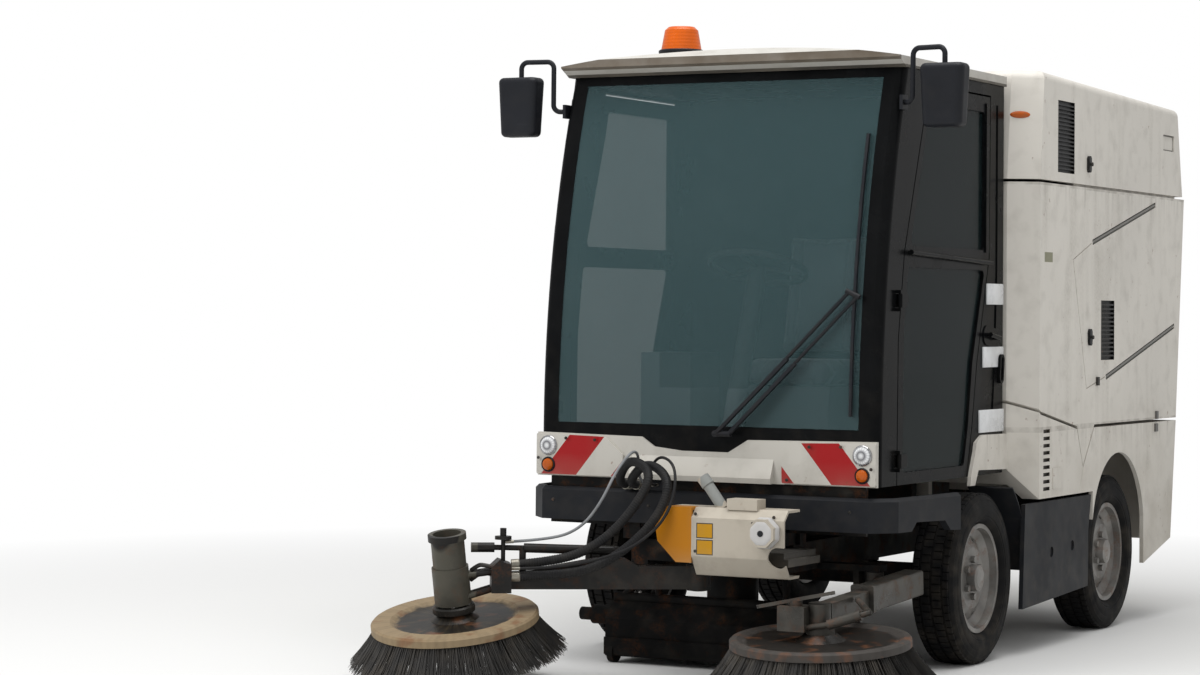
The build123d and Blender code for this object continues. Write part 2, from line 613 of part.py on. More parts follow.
# Wiper: pivot over the front panel, two parallel arms and a blade curved like the screen
WIPER_X = 672.0
WIPER_GAP = 8.0
BLADE_DEEP = 16.0
BLADE_WIDE = 12.0
BLADE_SPAN = (1085.0, 2250.0)
WIPER_TIP = (-916.0, 1590.0)
with BuildPart() as wiper:
    with BuildSketch(Plane.YZ.offset(WIPER_X - BLADE_WIDE / 2)):
        with BuildLine():
            near_foot, near_middle, near_crown = front_curve(-WIPER_GAP, SILL_Z, CAB_TOP)
            far_foot, far_middle, far_crown = front_curve(-WIPER_GAP - BLADE_DEEP, SILL_Z, CAB_TOP)
            ThreePointArc(near_foot, near_middle, near_crown)
            Line(near_crown, far_crown)
            ThreePointArc(far_crown, far_middle, far_foot)
            Line(far_foot, near_foot)
        make_face()
    extrude(amount=BLADE_WIDE)
    box(-CAB_HALF, CAB_HALF, CAB_FRONT - 100, 0, *BLADE_SPAN, mode=Mode.INTERSECT)
    rod((80, -990, 1002), (80, CAB_FRONT - SEAT_FIT, 1002), 14)
    rod((70, -980, 1002), (150, -980, 1002), 12)
    rod((80, -980, 1002), (WIPER_X - 20, WIPER_TIP[0], WIPER_TIP[1] + 4), 8)
    rod((140, -980, 1002), (WIPER_X + 16, WIPER_TIP[0], WIPER_TIP[1] - 16), 7)
    rod((WIPER_X - 34, WIPER_TIP[0], WIPER_TIP[1] + 8), (WIPER_X + 28, WIPER_TIP[0], WIPER_TIP[1] - 18), 11)
    rod((WIPER_X, WIPER_TIP[0], WIPER_TIP[1]), (WIPER_X, WIPER_TIP[0] + 24, WIPER_TIP[1]), 9)
save(wiper.part, "wiper")

with BuildPart() as beacon_lens:
    with Locations((BEACON_X, BEACON_Y, BEACON_Z + BEACON_PAD + SEAT_FIT)):
        Cone(92, 74, 100, align=(Align.CENTER, Align.CENTER, Align.MIN))
    with Locations((BEACON_X, BEACON_Y, BEACON_Z + BEACON_PAD + 100)):
        Cone(74, 58, 15, align=(Align.CENTER, Align.CENTER, Align.MIN))
save(beacon_lens.part, "beacon_lens")

# Skirts between the wheels, with round sockets, and the curved guards behind the front wheels
GUARD_R = 474.0
GUARD_SPAN = 52.0
SOCKETS = ((759, 432), (1039, 443))
with BuildPart() as side_skirts:
    for side in (1, -1):
        skirt_outline = ((415, 665), (1300, 665), (1262, 500), (1257, 240), (385, 204))
        plate(side, SKIRT_IN, SKIRT_IN + SKIRT_THICK, skirt_outline)
        with BuildSketch(Plane.YZ.offset(side * 700)):
            with BuildLine():
                CenterArc((0, AXLE_Z), GUARD_R, 0, GUARD_SPAN)
                CenterArc((0, AXLE_Z), GUARD_R + 6, 0, GUARD_SPAN)
                Line((GUARD_R, AXLE_Z), (GUARD_R + 6, AXLE_Z))
                tip = math.radians(GUARD_SPAN)
                Line((GUARD_R * math.cos(tip), AXLE_Z + GUARD_R * math.sin(tip)),
                     ((GUARD_R + 6) * math.cos(tip), AXLE_Z + (GUARD_R + 6) * math.sin(tip)))
            make_face()
        extrude(amount=side * (SKIRT_IN + 5 - 700))
        for y, z in SOCKETS:
            with BuildSketch(Plane.YZ.offset(side * (SKIRT_IN + SKIRT_THICK - 8))):
                with Locations((y, z)):
                    Circle(24)
            extrude(amount=side * 10, mode=Mode.SUBTRACT)
save(side_skirts.part, "side_skirts")

# Outline of the rear body from above, and the seam along its flank from the front to the tail
BODY_PLAN = (
    (-BODY_HALF + BODY_CHAMFER, BODY_FRONT), (BODY_HALF - BODY_CHAMFER, BODY_FRONT),
    (BODY_HALF, BODY_FRONT + BODY_CHAMFER_LENGTH), (BODY_HALF, BODY_END), (-BODY_HALF, BODY_END),
    (-BODY_HALF, BODY_FRONT + BODY_CHAMFER_LENGTH),
)
SEAM_FRONT = ((BODY_FRONT - 5, 1118), (594, 1066), (1082, 986))
SEAM_NOTCH = (1168, 802)
SEAM_REAR = (1328, 986)


def body_block(inset, low, top):
    # the body's outline drawn in by a wall and raised between two heights
    with BuildSketch(Plane.XY.offset(low)) as plan:
        Polygon(*BODY_PLAN, align=None)
        if inset:
            offset(amount=-inset, kind=Kind.INTERSECTION)
    return extrude(plan.sketch, amount=top - low)


def flank_block(points):
    # a solid across the whole body, its outline given as (y, z)
    with BuildSketch(Plane.YZ.offset(-BODY_HALF - 5)) as outline:
        Polygon(*points, align=None)
    return extrude(outline.sketch, amount=2 * BODY_HALF + 10)


# Lower front panels beside the engine
SLOTS = 9
SLOT_Y = (630.0, 714.0)
SLOT_Z = (706.0, 998.0)
PANEL_DEEP = 12.0
TRIM_OUTLINE = (
    (200, 977), (505, 973), (505, 815), (150, 825), (110, 760), (52, 760), (60, 800), (112, 905), (125, 945),
)
under_seam = [(y, z - SEAM_HALF) for y, z in SEAM_FRONT + (SEAM_NOTCH,)]
housing_shape = body_block(0, BODY_LOW, 1200) & flank_block(
    [(BODY_FRONT - 10, BODY_LOW - 5)] + under_seam + [(1112, BODY_LOW - 5)]
)
housing_room = body_block(BODY_WALL, BODY_LOW - 10, 1250) & flank_block(
    ((500, 600), (500, 1300), (1040, 1300), (1040, 600))
)
with BuildPart() as engine_housing:
    add(housing_shape)
    add(housing_room, mode=Mode.SUBTRACT)
    box(-BODY_HALF + BODY_WALL, BODY_HALF - BODY_WALL, 1080, 1250, 600, 1300, mode=Mode.SUBTRACT)
    # front corners cut back over the wheels
    chamfer_end = BODY_FRONT + BODY_CHAMFER_LENGTH
    corner_cut = (
        (BODY_FRONT - 10, BODY_LOW - 10), (BODY_FRONT - 10, 815), (BODY_FRONT, 815), (chamfer_end, BODY_LOW),
        (chamfer_end, BODY_LOW - 10),
    )
    for side in (1, -1):
        plate(side, 430, BODY_HALF + 5, corner_cut, mode=Mode.SUBTRACT)
    # row of short air slots, and a small hatch
    pitch = (SLOT_Z[1] - SLOT_Z[0]) / SLOTS
    for side in (1, -1):
        for i in range(SLOTS):
            z = SLOT_Z[0] + (i + 0.5) * pitch
            box(*sorted((side * (BODY_HALF - PANEL_DEEP), side * (BODY_HALF + 1))), *SLOT_Y, z - 0.25 * pitch,
                z + 0.25 * pitch, mode=Mode.SUBTRACT)
        plate(side, BODY_HALF - 1, BODY_HALF + 4, ((750, 718), (750, 812), (862, 812), (862, 718)))
    # white trim over the front wheels, reaching forward to the door
    for side in (1, -1):
        plate(side, CAB_HALF + SEAT_FIT, CAB_HALF + 16, TRIM_OUTLINE)
save(engine_housing.part, "engine_housing")

# Fixed lower side panels with the rear wheel arches, joined across the back
ARCH_HALF = 380.0
PANEL_REAR_LOW = (2505.0, 386.0)
with BuildPart() as rear_panels:
    with BuildSketch(Plane.YZ.offset(-BODY_HALF)):
        Polygon(
            (1116, BODY_LOW), (SEAM_NOTCH[0] + 4, SEAM_NOTCH[1] - SEAM_HALF),
            (SEAM_REAR[0], SEAM_REAR[1] - SEAM_HALF), (TAIL_LOW_Y, HOPPER_LOW - 2 * SEAM_HALF),
            PANEL_REAR_LOW, (WHEELBASE + ARCH_HALF + 2, 288),
            (WHEELBASE - ARCH_HALF, 288), (WHEELBASE - ARCH_HALF, BODY_LOW), align=None,
        )
        with BuildLine():
            Line((WHEELBASE - ARCH_HALF - 5, 200), (WHEELBASE - ARCH_HALF - 5, 520))
            ThreePointArc((WHEELBASE - ARCH_HALF - 5, 520), (WHEELBASE, 848), (WHEELBASE + ARCH_HALF, 520))
            Line((WHEELBASE + ARCH_HALF, 520), (WHEELBASE + ARCH_HALF, 200))
            Line((WHEELBASE + ARCH_HALF, 200), (WHEELBASE - ARCH_HALF - 5, 200))
        make_face(mode=Mode.SUBTRACT)
    extrude(amount=2 * BODY_HALF)
    box(-BODY_HALF + 20, BODY_HALF - 20, 1100, RAIL_REAR, 200, HOPPER_LOW, mode=Mode.SUBTRACT)
    box(-TOW_HALF - 8, TOW_HALF + 8, RAIL_REAR - 70, TOW_Y + 120, TOW_Z - 28, TOW_Z + 28, mode=Mode.SUBTRACT)
    # hinge blocks and a fastener on the upper edge
    for side in (1, -1):
        plate(side, BODY_HALF - 1, BODY_HALF + 9, ((2235, 930), (2235, 970), (2275, 970), (2275, 930)))
save(rear_panels.part, "rear_panels")

# Hopper: hollow, open at the back under the rear door, with an open-bottomed room over the engine
DOOR_SEAM = ((1278, 1846), (1020, 1764), (1213, 1164), (1477, 1215))
GUIDES = (
    # (y, z) ends of the two slanted guide rails
    ((1290, 1850), (2244, 2062)),
    ((1490, 1212), (2560, 1458)),
)
INNER_TOP = BODY_TOP - BODY_WALL
hopper_shape = body_block(0, BODY_LOW, BODY_TOP) & flank_block(
    [(BODY_FRONT - 10, BODY_TOP + 5)] + [(y, z + SEAM_HALF) for y, z in SEAM_FRONT + (SEAM_NOTCH, SEAM_REAR)]
    + [(TAIL_LOW_Y - TAIL_THICK - SEAT_FIT, HOPPER_LOW), (TAIL_TOP_Y - TAIL_THICK - SEAT_FIT, BODY_TOP),
       (TAIL_TOP_Y - TAIL_THICK - SEAT_FIT, BODY_TOP + 5)]
)
engine_room = body_block(BODY_WALL, BODY_LOW - 5, INNER_TOP) & flank_block(
    ((BODY_FRONT, 600), (BODY_FRONT, BODY_TOP), (BULKHEAD_Y - 20, BODY_TOP), (BULKHEAD_Y - 20, 600))
)
with BuildPart() as hopper:
    add(hopper_shape)
    add(engine_room, mode=Mode.SUBTRACT)
    inner_half = BODY_HALF - BODY_WALL
    box(-inner_half, inner_half, BULKHEAD_Y - 25, BODY_END, 600, HOPPER_LOW, mode=Mode.SUBTRACT)
    box(-inner_half, inner_half, BULKHEAD_Y + 20, BODY_END, HOPPER_LOW + BODY_WALL, INNER_TOP,
        mode=Mode.SUBTRACT)
    # seal strip that the lid rests on
    seal_half = BODY_HALF - BODY_WALL / 2
    box(-seal_half, seal_half, BULKHEAD_Y - 30, 2620, BODY_TOP - 1, LID_LOW - SEAT_FIT)
    box(-inner_half + 5, inner_half - 5, BULKHEAD_Y - 10, 2600, BODY_TOP, LID_LOW, mode=Mode.SUBTRACT)
    # side door's outline, guide rails, air grille and handles
    groove(DOOR_SEAM, 5, 5, BODY_HALF)
    for ends in GUIDES:
        groove(ends, 26, 9, BODY_HALF)
    for flank in (1, -1):
        for ends in GUIDES:
            with BuildSketch(Plane.YZ.offset(flank * (BODY_HALF - 10))) as strip:
                with BuildLine():
                    Polyline(*ends)
                trace(line_width=10)
            extrude(strip.sketch, amount=flank * 7)
    grille(1418, 1614, 1295, 1578, 14, BODY_HALF)
    grip(1241, 1404, BODY_HALF)
    for flank in (1, -1):
        for y, z in ((1360, 1196), (2262, 1012)):
            lug = ((y - 15, z - 20), (y - 15, z + 20), (y + 15, z + 20), (y + 15, z - 20))
            plate(flank, BODY_HALF - 1, BODY_HALF + 10, lug)
save(hopper.part, "hopper")

# Tailgate with a pressed field and upright ribs
TAIL_RIBS = (-450.0, 0.0, 450.0)
with BuildPart() as rear_door:
    with BuildSketch(Plane.YZ.offset(-BODY_HALF)):
        Polygon((TAIL_TOP_Y - TAIL_THICK, BODY_TOP), (TAIL_TOP_Y, BODY_TOP), (TAIL_LOW_Y, HOPPER_LOW),
                (TAIL_LOW_Y - TAIL_THICK, HOPPER_LOW), align=None)
    extrude(amount=2 * BODY_HALF)
    tail_lean = math.atan2(TAIL_TOP_Y - TAIL_LOW_Y, BODY_TOP - HOPPER_LOW)
    tail_face = Plane(
        origin=(0, (TAIL_TOP_Y + TAIL_LOW_Y) / 2, (BODY_TOP + HOPPER_LOW) / 2),
        x_dir=(-1, 0, 0),
        z_dir=(0, math.cos(tail_lean), -math.sin(tail_lean)),
    )
    with BuildSketch(tail_face):
        RectangleRounded(2 * BODY_HALF - 180, 940, 40)
        for x in TAIL_RIBS:
            with Locations((x, 0)):
                Rectangle(60, 960, mode=Mode.SUBTRACT)
    extrude(amount=-12, mode=Mode.SUBTRACT)
    with BuildSketch(tail_face):
        for x in (-800, 800):
            with Locations((x, -500)):
                Rectangle(60, 70)
    extrude(amount=16)
save(rear_door.part, "rear_door")


# Top lid: leaning front with the body's corner, rounded along the top, open below
def lid_form(inset, low):
    plans = []
    for z, shift in ((low, 0.0), (LID_TOP_FRONT - inset, LID_LEAN)):
        with BuildSketch(Plane.XY.offset(z)) as plan:
            Polygon(*[(x, y + (shift if y < BODY_END else 0)) for x, y in BODY_PLAN], align=None)
            if inset:
                offset(amount=-inset, kind=Kind.INTERSECTION)
        plans.append(plan.sketch)
    return loft(sections=plans, ruled=True) & flank_block((
        (400, low), (400, LID_TOP_FRONT - inset), (600, LID_TOP_FRONT - inset),
        (LID_REAR_TOP - inset, LID_TOP_REAR - inset), (LID_REAR_LOW - inset, low),
    ))


lid_outer = lid_form(0, LID_LOW)
lid_inner = lid_form(BODY_WALL, LID_LOW - 10)
with BuildPart() as top_lid:
    add(lid_outer)
    long_edges = top_lid.edges().filter_by(
        lambda e: abs(abs(e.center().X) - BODY_HALF) < 1 and e.center().Z > 2500
    )
    front_edges = top_lid.edges().filter_by(lambda e: e.center().Y < 620 and e.center().Z > LID_TOP_FRONT - 5
                                            and abs(e.center().X) < BODY_HALF - 10)
    fillet(long_edges + front_edges, LID_ROUND)
    add(lid_inner, mode=Mode.SUBTRACT)
    grille(806, 1033, 2160, 2490, 18, BODY_HALF)
    grip(1220, 2215, BODY_HALF)
    # small sunk square near the rear
    for flank in (1, -1):
        sunk_field = ((2367, 2342), (2367, 2422), (2547, 2422), (2547, 2342))
        plate(flank, BODY_HALF - 8, BODY_HALF + 1, sunk_field, mode=Mode.SUBTRACT)
save(top_lid.part, "top_lid")

# Suction nozzle under the front, open below, on four small wheels, with its duct
NOZZLE_HALF = 520.0
NOZZLE_FRONT = -820.0
NOZZLE_REAR = -480.0
NOZZLE_TOP = 260.0
DUCT_R = 110.0
with BuildPart() as suction_nozzle:
    nozzle_side = (
        (NOZZLE_FRONT, 30), (NOZZLE_FRONT, 190), (NOZZLE_FRONT + 60, NOZZLE_TOP), (NOZZLE_REAR, NOZZLE_TOP),
        (NOZZLE_REAR, 30),
    )
    plate(1, -NOZZLE_HALF, NOZZLE_HALF, nozzle_side)
    mouth = (
        (NOZZLE_FRONT + 20, 20), (NOZZLE_FRONT + 20, 182), (NOZZLE_FRONT + 68, NOZZLE_TOP - 20),
        (NOZZLE_REAR - 20, NOZZLE_TOP - 20), (NOZZLE_REAR - 20, 20),
    )
    plate(1, -NOZZLE_HALF + 20, NOZZLE_HALF - 20, mouth, mode=Mode.SUBTRACT)
    # rubber apron under the front edge, and a cross bar
    box(-NOZZLE_HALF, NOZZLE_HALF, NOZZLE_FRONT - 12, NOZZLE_FRONT + 2, 36, 110)
    rod((-NOZZLE_HALF + 10, NOZZLE_FRONT + 75, 275), (NOZZLE_HALF - 10, NOZZLE_FRONT + 75, 275), 22)
    for x in (-490, 490):
        for y in (-795, -500):
            rod((x - 14, y, 45), (x + 14, y, 45), 45)
    rod((0, -640, NOZZLE_TOP - 25), (0, -640, CAB_FLOOR - SEAT_FIT), DUCT_R)
    rod((0, -640, 200), (0, -640, CAB_FLOOR), DUCT_R - 10, mode=Mode.SUBTRACT)
    # lifting rods, slanting strut and the drive at the right end
    for x in (-300, 300):
        rod((x, -745, 275), (x, -745, RAIL_LOW - SEAT_FIT), 16)
    rod((-300, -745, 415), (-480, -745, 275), 15)
    rod((-NOZZLE_HALF + 10, -700, 190), (-640, -700, 190), 42)
    rod((-635, -700, 190), (-700, -700, 190), 28)
save(suction_nozzle.part, "suction_nozzle")


# Brushes: a plate with a sunk middle and raised rim, and a skirt of tufts flaring down
TUFTS = 36
TUFT_GAP = 7.0
BRISTLE_BAND = 70.0


def brush_axes(x, y, z, tilt):
    a = math.radians(tilt)
    return Plane(origin=(x, y, z), x_dir=(1, 0, 0), z_dir=(0, -math.sin(a), math.cos(a)))


def brush_plate(plane, radius, rim):
    section = Plane(origin=plane.origin, x_dir=plane.x_dir, z_dir=-plane.y_dir)
    with BuildSketch(section) as half:
        Polygon(
            (0, 15), (64, 15), (80, 2), (100, -12), (radius - rim - 22, -12), (radius - rim, 0),
            (radius - 8, 0), (radius, -8), (radius, -35), (0, -35), align=None,
        )
    revolve(half.sketch, axis=Axis(plane.origin, plane.z_dir))


def bristles(plane, radius, depth, flare):
    down = Plane(origin=plane.origin, x_dir=plane.x_dir, z_dir=-plane.z_dir).offset(35)
    lean = -math.degrees(math.atan2(flare, depth))
    with BuildSketch(down) as outer:
        Circle(radius - 5)
    extrude(outer.sketch, amount=depth, taper=lean)
    with BuildSketch(down) as inner:
        Circle(radius - 5 - BRISTLE_BAND)
    extrude(inner.sketch, amount=depth, taper=lean, mode=Mode.SUBTRACT)
    # gaps between the tufts, cut along the flare
    for i in range(TUFTS):
        turn = math.radians(i * 360 / TUFTS)
        out = down.x_dir * math.cos(turn) + down.y_dir * math.sin(turn)
        across = down.z_dir.cross(out)
        top = down.origin + out * (radius - 5)
        foot = down.origin + out * (radius - 5 + flare) + down.z_dir * depth
        run = foot - top
        slit = Plane(origin=top + run * 0.12, x_dir=across, z_dir=run)
        with BuildSketch(slit) as gap:
            Rectangle(TUFT_GAP, 36)
        extrude(gap.sketch, amount=run.length, mode=Mode.SUBTRACT)


# Left brush on its telescopic arm
side_x = BRUSH_OUT - SIDE_BRUSH_R + 5 - BRUSH_FLARE
side_plane = brush_axes(side_x, SIDE_BRUSH_Y, SIDE_BRUSH_Z, SIDE_TILT)
ARM_ROOT = (770.0, -500.0, 385.0)
CYLINDER_RODS = (
    # start and end from the brush's middle, radius
    ((-30, -60, 40), (70, -62, 58), 12),
    ((60, -62, 56), (190, -40, 100), 20),
    ((180, -42, 97), (226, -30, 112), 11),
    ((222, -32, 110), (60, 230, 130), 13),
)
with BuildPart() as side_arm:
    with Locations((SIDE_PIVOT[0], SIDE_PIVOT[1], ARM_EYE_Z)):
        Cylinder(38, 80)
    rod((SIDE_PIVOT[0], SIDE_PIVOT[1], ARM_EYE_Z), (740, -640, ARM_EYE_Z), 28)
    tube_end = Vector(side_x, SIDE_BRUSH_Y, ARM_EYE_Z - 60)
    tube = Plane(origin=ARM_ROOT, z_dir=tube_end - Vector(*ARM_ROOT), x_dir=(1, 0.1, 0))
    with BuildSketch(tube):
        RectangleRounded(92, 104, 10)
    extrude(amount=460)
    with BuildSketch(tube.offset(450)):
        RectangleRounded(104, 116, 12)
    extrude(amount=22)
    with BuildSketch(tube):
        Rectangle(64, 72)
    extrude(amount=800)
    # brush motor on the axis, gear block beside it, lever across the top
    with BuildSketch(side_plane.offset(15 + SEAT_FIT)):
        Circle(58)
    extrude(amount=26)
    with BuildSketch(side_plane.offset(40)):
        Circle(44)
    extrude(amount=95)
    block_top = SIDE_BRUSH_Z + 122
    box(side_x - 146, side_x - 30, SIDE_BRUSH_Y - 92, SIDE_BRUSH_Y + 18, SIDE_BRUSH_Z + 24, block_top)
    rod((side_x - 88, SIDE_BRUSH_Y - 40, block_top - 4), (side_x - 88, SIDE_BRUSH_Y - 40, block_top + 22), 26)
    lever = Plane(
        origin=(side_x - 88, SIDE_BRUSH_Y - 40, block_top + 16),
        x_dir=(0.975, -0.05, 0.215),
        z_dir=(-0.215, 0, 0.975),
    )
    with BuildSketch(lever):
        SlotOverall(350, 44)
    extrude(amount=14)
    # adjusting cylinder in front of the tube, between two eyes
    for start, end, radius in CYLINDER_RODS:
        rod(*[(side_x + x, SIDE_BRUSH_Y + y, SIDE_BRUSH_Z + z) for x, y, z in (start, end)], radius)
    with Locations((SIDE_PIVOT[0], SIDE_PIVOT[1], ARM_EYE_Z)):
        Cylinder(KINGPIN_R + RUN_FIT, 100, mode=Mode.SUBTRACT)
save(side_arm.part, "side_arm")
with BuildPart() as side_brush_plate:
    brush_plate(side_plane, SIDE_BRUSH_R, 30)
save(side_brush_plate.part, "side_brush_plate")
with BuildPart() as side_brush_bristles:
    bristles(side_plane, SIDE_BRUSH_R, 150, BRUSH_FLARE)
save(side_brush_bristles.part, "side_brush_bristles")

# Front arm's bracket: carrying bar, pivot post, white cover with knob and hooked end, yellow end cover
boom_dir = Vector(-math.cos(math.radians(BOOM_ANGLE)), -math.sin(math.radians(BOOM_ANGLE)), 0)
boom_side = Vector(-boom_dir.Y, boom_dir.X, 0)
head = Vector(PIVOT_X, PIVOT_Y, 0) + boom_dir * BOOM_LENGTH
arm_plane = brush_axes(head.X, head.Y, ARM_BRUSH_Z, ARM_TILT)
COVER_FRONT = -1300.0
COVER_LEFT = 132.0
COVER_RIGHT = 545.0
COVER_TOP = 716.0
COVER_LOW = 440.0
COVER_SKIN = 10.0
KNOB_X = 465.0
KNOB_Z = 627.0
END_COVER = ((COVER_LEFT, COVER_TOP), (16, COVER_TOP), (-33, 642), (-22, 574))


def cover_section(inset):
    return (
        (-1150, COVER_TOP - inset), (COVER_FRONT + 40 + inset * 0.4, COVER_TOP - inset),
        (COVER_FRONT + inset, COVER_TOP - 40 - inset * 0.4), (COVER_FRONT + inset, 520 + inset * 0.2),
        (COVER_FRONT + 50 + inset, COVER_LOW + inset), (-1150, COVER_LOW + inset),
    )


with BuildPart() as arm_bracket:
    # covers: thin skins open at the back
    with BuildSketch(Plane.YZ.offset(COVER_LEFT)) as skin:
        Polygon(*cover_section(0), align=None)
        # the lower corners are rounded
        fillet(skin.vertices().filter_by(lambda v: v.Y < KNOB_Z), 12)
    extrude(amount=COVER_RIGHT - COVER_LEFT)
    with BuildSketch(Plane.YZ.offset(COVER_LEFT - 10)):
        open_back = ((-1140, COVER_LOW + COVER_SKIN), (-1140, COVER_TOP - COVER_SKIN))
        Polygon(*cover_section(COVER_SKIN), *open_back, align=None)
    extrude(amount=COVER_RIGHT - COVER_LEFT + 20, mode=Mode.SUBTRACT)
    # room for the boom's eye under the cover
    with Locations((PIVOT_X, PIVOT_Y, BOOM_Z + 30)):
        Cylinder(62, 60, mode=Mode.SUBTRACT)
    # hooked end: a round bite out of the front skin
    rod((515, COVER_FRONT - 20, 527), (515, COVER_FRONT + 90, 527), 42, mode=Mode.SUBTRACT)
    box(515, COVER_RIGHT + 5, COVER_FRONT - 20, COVER_FRONT + 90, 500, 569, mode=Mode.SUBTRACT)
    # knob
    with BuildSketch(Plane.XZ.offset(-COVER_FRONT - 4)):
        with Locations((KNOB_X, KNOB_Z)):
            RegularPolygon(66, 8, rotation=22.5)
    extrude(amount=52, taper=6)
    box(279, 414, COVER_FRONT + 25, COVER_FRONT + 105, COVER_TOP - 5, COVER_TOP + 39)
    # yellow end cover over the pivot
    with BuildSketch(Plane.XZ.offset(-COVER_FRONT)) as end_cover:
        Polygon(*END_COVER, (34, 520), (62, 492), (COVER_LEFT, 492), align=None)
    extrude(end_cover.sketch, amount=-12)
    with BuildSketch(Plane.XZ.offset(-COVER_FRONT)) as end_skin:
        Polygon(
            *END_COVER, (-12, 574), (-22, 640), (22, COVER_TOP - 12), (COVER_LEFT, COVER_TOP - 12),
            align=None,
        )
    extrude(end_skin.sketch, amount=-150)
    # carrying bar from the frame, pivot post and its cap
    box(PIVOT_X - 60, 500, -1160, RAIL_FRONT - SEAT_FIT, 480, 510)
    box(300, 480, -1160, RAIL_FRONT - SEAT_FIT, 500, 535)
    box(PIVOT_X - 30, 400, -1175, -1145, 505, COVER_TOP - 4)
    rod((PIVOT_X, PIVOT_Y, 480), (PIVOT_X, PIVOT_Y, 700), 38)
    rod((PIVOT_X, PIVOT_Y, 366), (PIVOT_X, PIVOT_Y, 490), 24)
    # clear water filter standing on the cover
    rod((236, -1215, COVER_TOP - 6), (150, -1215, 822), 23)
    rod((166, -1215, 802), (140, -1215, 834), 27)
save(arm_bracket.part, "arm_bracket")


def on_boom(s, t, z):
    # a point by its distance along the boom, to its left and above the ground
    p = Vector(PIVOT_X, PIVOT_Y, 0) + boom_dir * s + boom_side * t
    return (p.X, p.Y, z)


# Swinging boom: tapered box beam, twin links to the brush motor, steadying cylinder above
HOSE_CLAMP_S = 770.0
HOSE_CLAMP_T = 100.0
LINK_S = (812.0, 952.0)
LINKS = (
    # height at the beam, height at the motor
    (452.0, 432.0),
    (388.0, 345.0),
)
with BuildPart() as swing_boom:
    with Locations((PIVOT_X, PIVOT_Y, BOOM_Z)):
        Cylinder(50, 104)
    with BuildSketch(Plane(origin=on_boom(0, 35, 0), x_dir=boom_dir, z_dir=-boom_side)):
        Polygon(
            (20, 376), (20, 470), (250, 470), (300, 500), (420, 500), (760, 440), (800, 434), (800, 376),
            align=None,
        )
    extrude(amount=70)
    with Locations((PIVOT_X, PIVOT_Y, BOOM_Z)):
        Cylinder(24 + RUN_FIT, 140, mode=Mode.SUBTRACT)
    # clamp plate, lugs and twin links
    with BuildSketch(Plane(origin=on_boom(0, HOSE_CLAMP_T, 0), x_dir=boom_dir, z_dir=-boom_side)):
        Polygon((HOSE_CLAMP_S, 366), (HOSE_CLAMP_S, 480), (820, 498), (850, 470), (850, 366), align=None)
    extrude(amount=152)
    for low, high in LINKS:
        for t in (-44, 44):
            rod(on_boom(LINK_S[0], t, low), on_boom(LINK_S[1], t, high), 12)
    for t in (-44, 44):
        rod(on_boom(LINK_S[1], t, 328), on_boom(LINK_S[1], t, 450), 15)
    box(*sorted((head.X - 20, head.X + 40)), head.Y - 20, head.Y + 20, 370, 420)
    # motor housing: body, neck and an open ring on top, as start and end over the plate, radius
    for low, high, radius in ((15 + SEAT_FIT, 60, 42), (52, 205, 75), (204, 330, 68), (316, 342, 78)):
        with BuildSketch(arm_plane.offset(low)):
            Circle(radius)
        extrude(amount=high - low)
    with BuildSketch(arm_plane.offset(262)):
        Circle(58)
    extrude(amount=90, mode=Mode.SUBTRACT)
    # steadying cylinder over the beam: rod, body, rear eye and a knobbed stop
    rod(on_boom(930, 0, 543), on_boom(835, 0, 543), 20)
    rod(on_boom(840, 0, 543), on_boom(700, 0, 540), 11)
    rod(on_boom(715, 0, 541), on_boom(330, 0, 530), 19)
    rod(on_boom(340, 0, 490), on_boom(340, 0, 545), 16)
    rod(on_boom(720, 0, 440), on_boom(720, 0, 548), 14)
    rod(on_boom(800, 10, 470), on_boom(800, 10, 592), 9)
    rod(on_boom(800, 10, 576), on_boom(800, 10, 590), 34)
    rod(on_boom(800, 10, 590), on_boom(800, 10, 622), 13)
save(swing_boom.part, "swing_boom")
with BuildPart() as arm_brush_plate:
    brush_plate(arm_plane, ARM_BRUSH_R, 78)
save(arm_brush_plate.part, "arm_brush_plate")
with BuildPart() as arm_brush_bristles:
    bristles(arm_plane, ARM_BRUSH_R, 138, BRUSH_FLARE)
save(arm_brush_bristles.part, "arm_brush_bristles")

# Hoses from the block over the bumper, looping down to the boom's clamp
HOSE_START = HOSE_BLOCK_Y - SEAT_FIT
HOSES = (
    # radius, route
    (18.0, (
        (-335, HOSE_START, 777), (-335, -1080, 777), (-215, -1190, 905), (-45, -1290, 850), (-95, -1370, 700),
        (-205, -1440, 565), (-345, -1530, 490), on_boom(HOSE_CLAMP_S - 1, 55, 478))),
    (18.0, (
        (-285, HOSE_START, 777), (-285, -1085, 777), (-138, -1182, 893), (27, -1280, 828), (18, -1345, 690),
        (-85, -1400, 560), (-215, -1478, 462), (-365, -1572, 435), on_boom(HOSE_CLAMP_S - 1, 72, 432))),
    (6.0, (
        (-240, HOSE_START, 777), (-240, -1055, 777), (-180, -1170, 955), (-190, -1330, 870),
        (-235, -1395, 720), (-300, -1445, 620), (-400, -1508, 575), on_boom(790.5, 10, 566))),
    (6.0, (
        (-205, HOSE_START, 777), (-205, -1060, 777), (-90, -1180, 925), (70, -1300, 880), (75, -1375, 690),
        (-40, -1440, 560), (-190, -1505, 500), (-370, -1606, 466), on_boom(HOSE_CLAMP_S - 1, 82, 464))),
)


def turn_radii(route):
    # each arc as large as its two runs allow
    radii = []
    for a, b, c in zip(route, route[1:], route[2:]):
        into, out = Vector(*b) - Vector(*a), Vector(*c) - Vector(*b)
        half_turn = math.radians(into.get_angle(out)) / 2
        radii.append(0.45 * min(into.length, out.length) / math.tan(half_turn))
    return radii


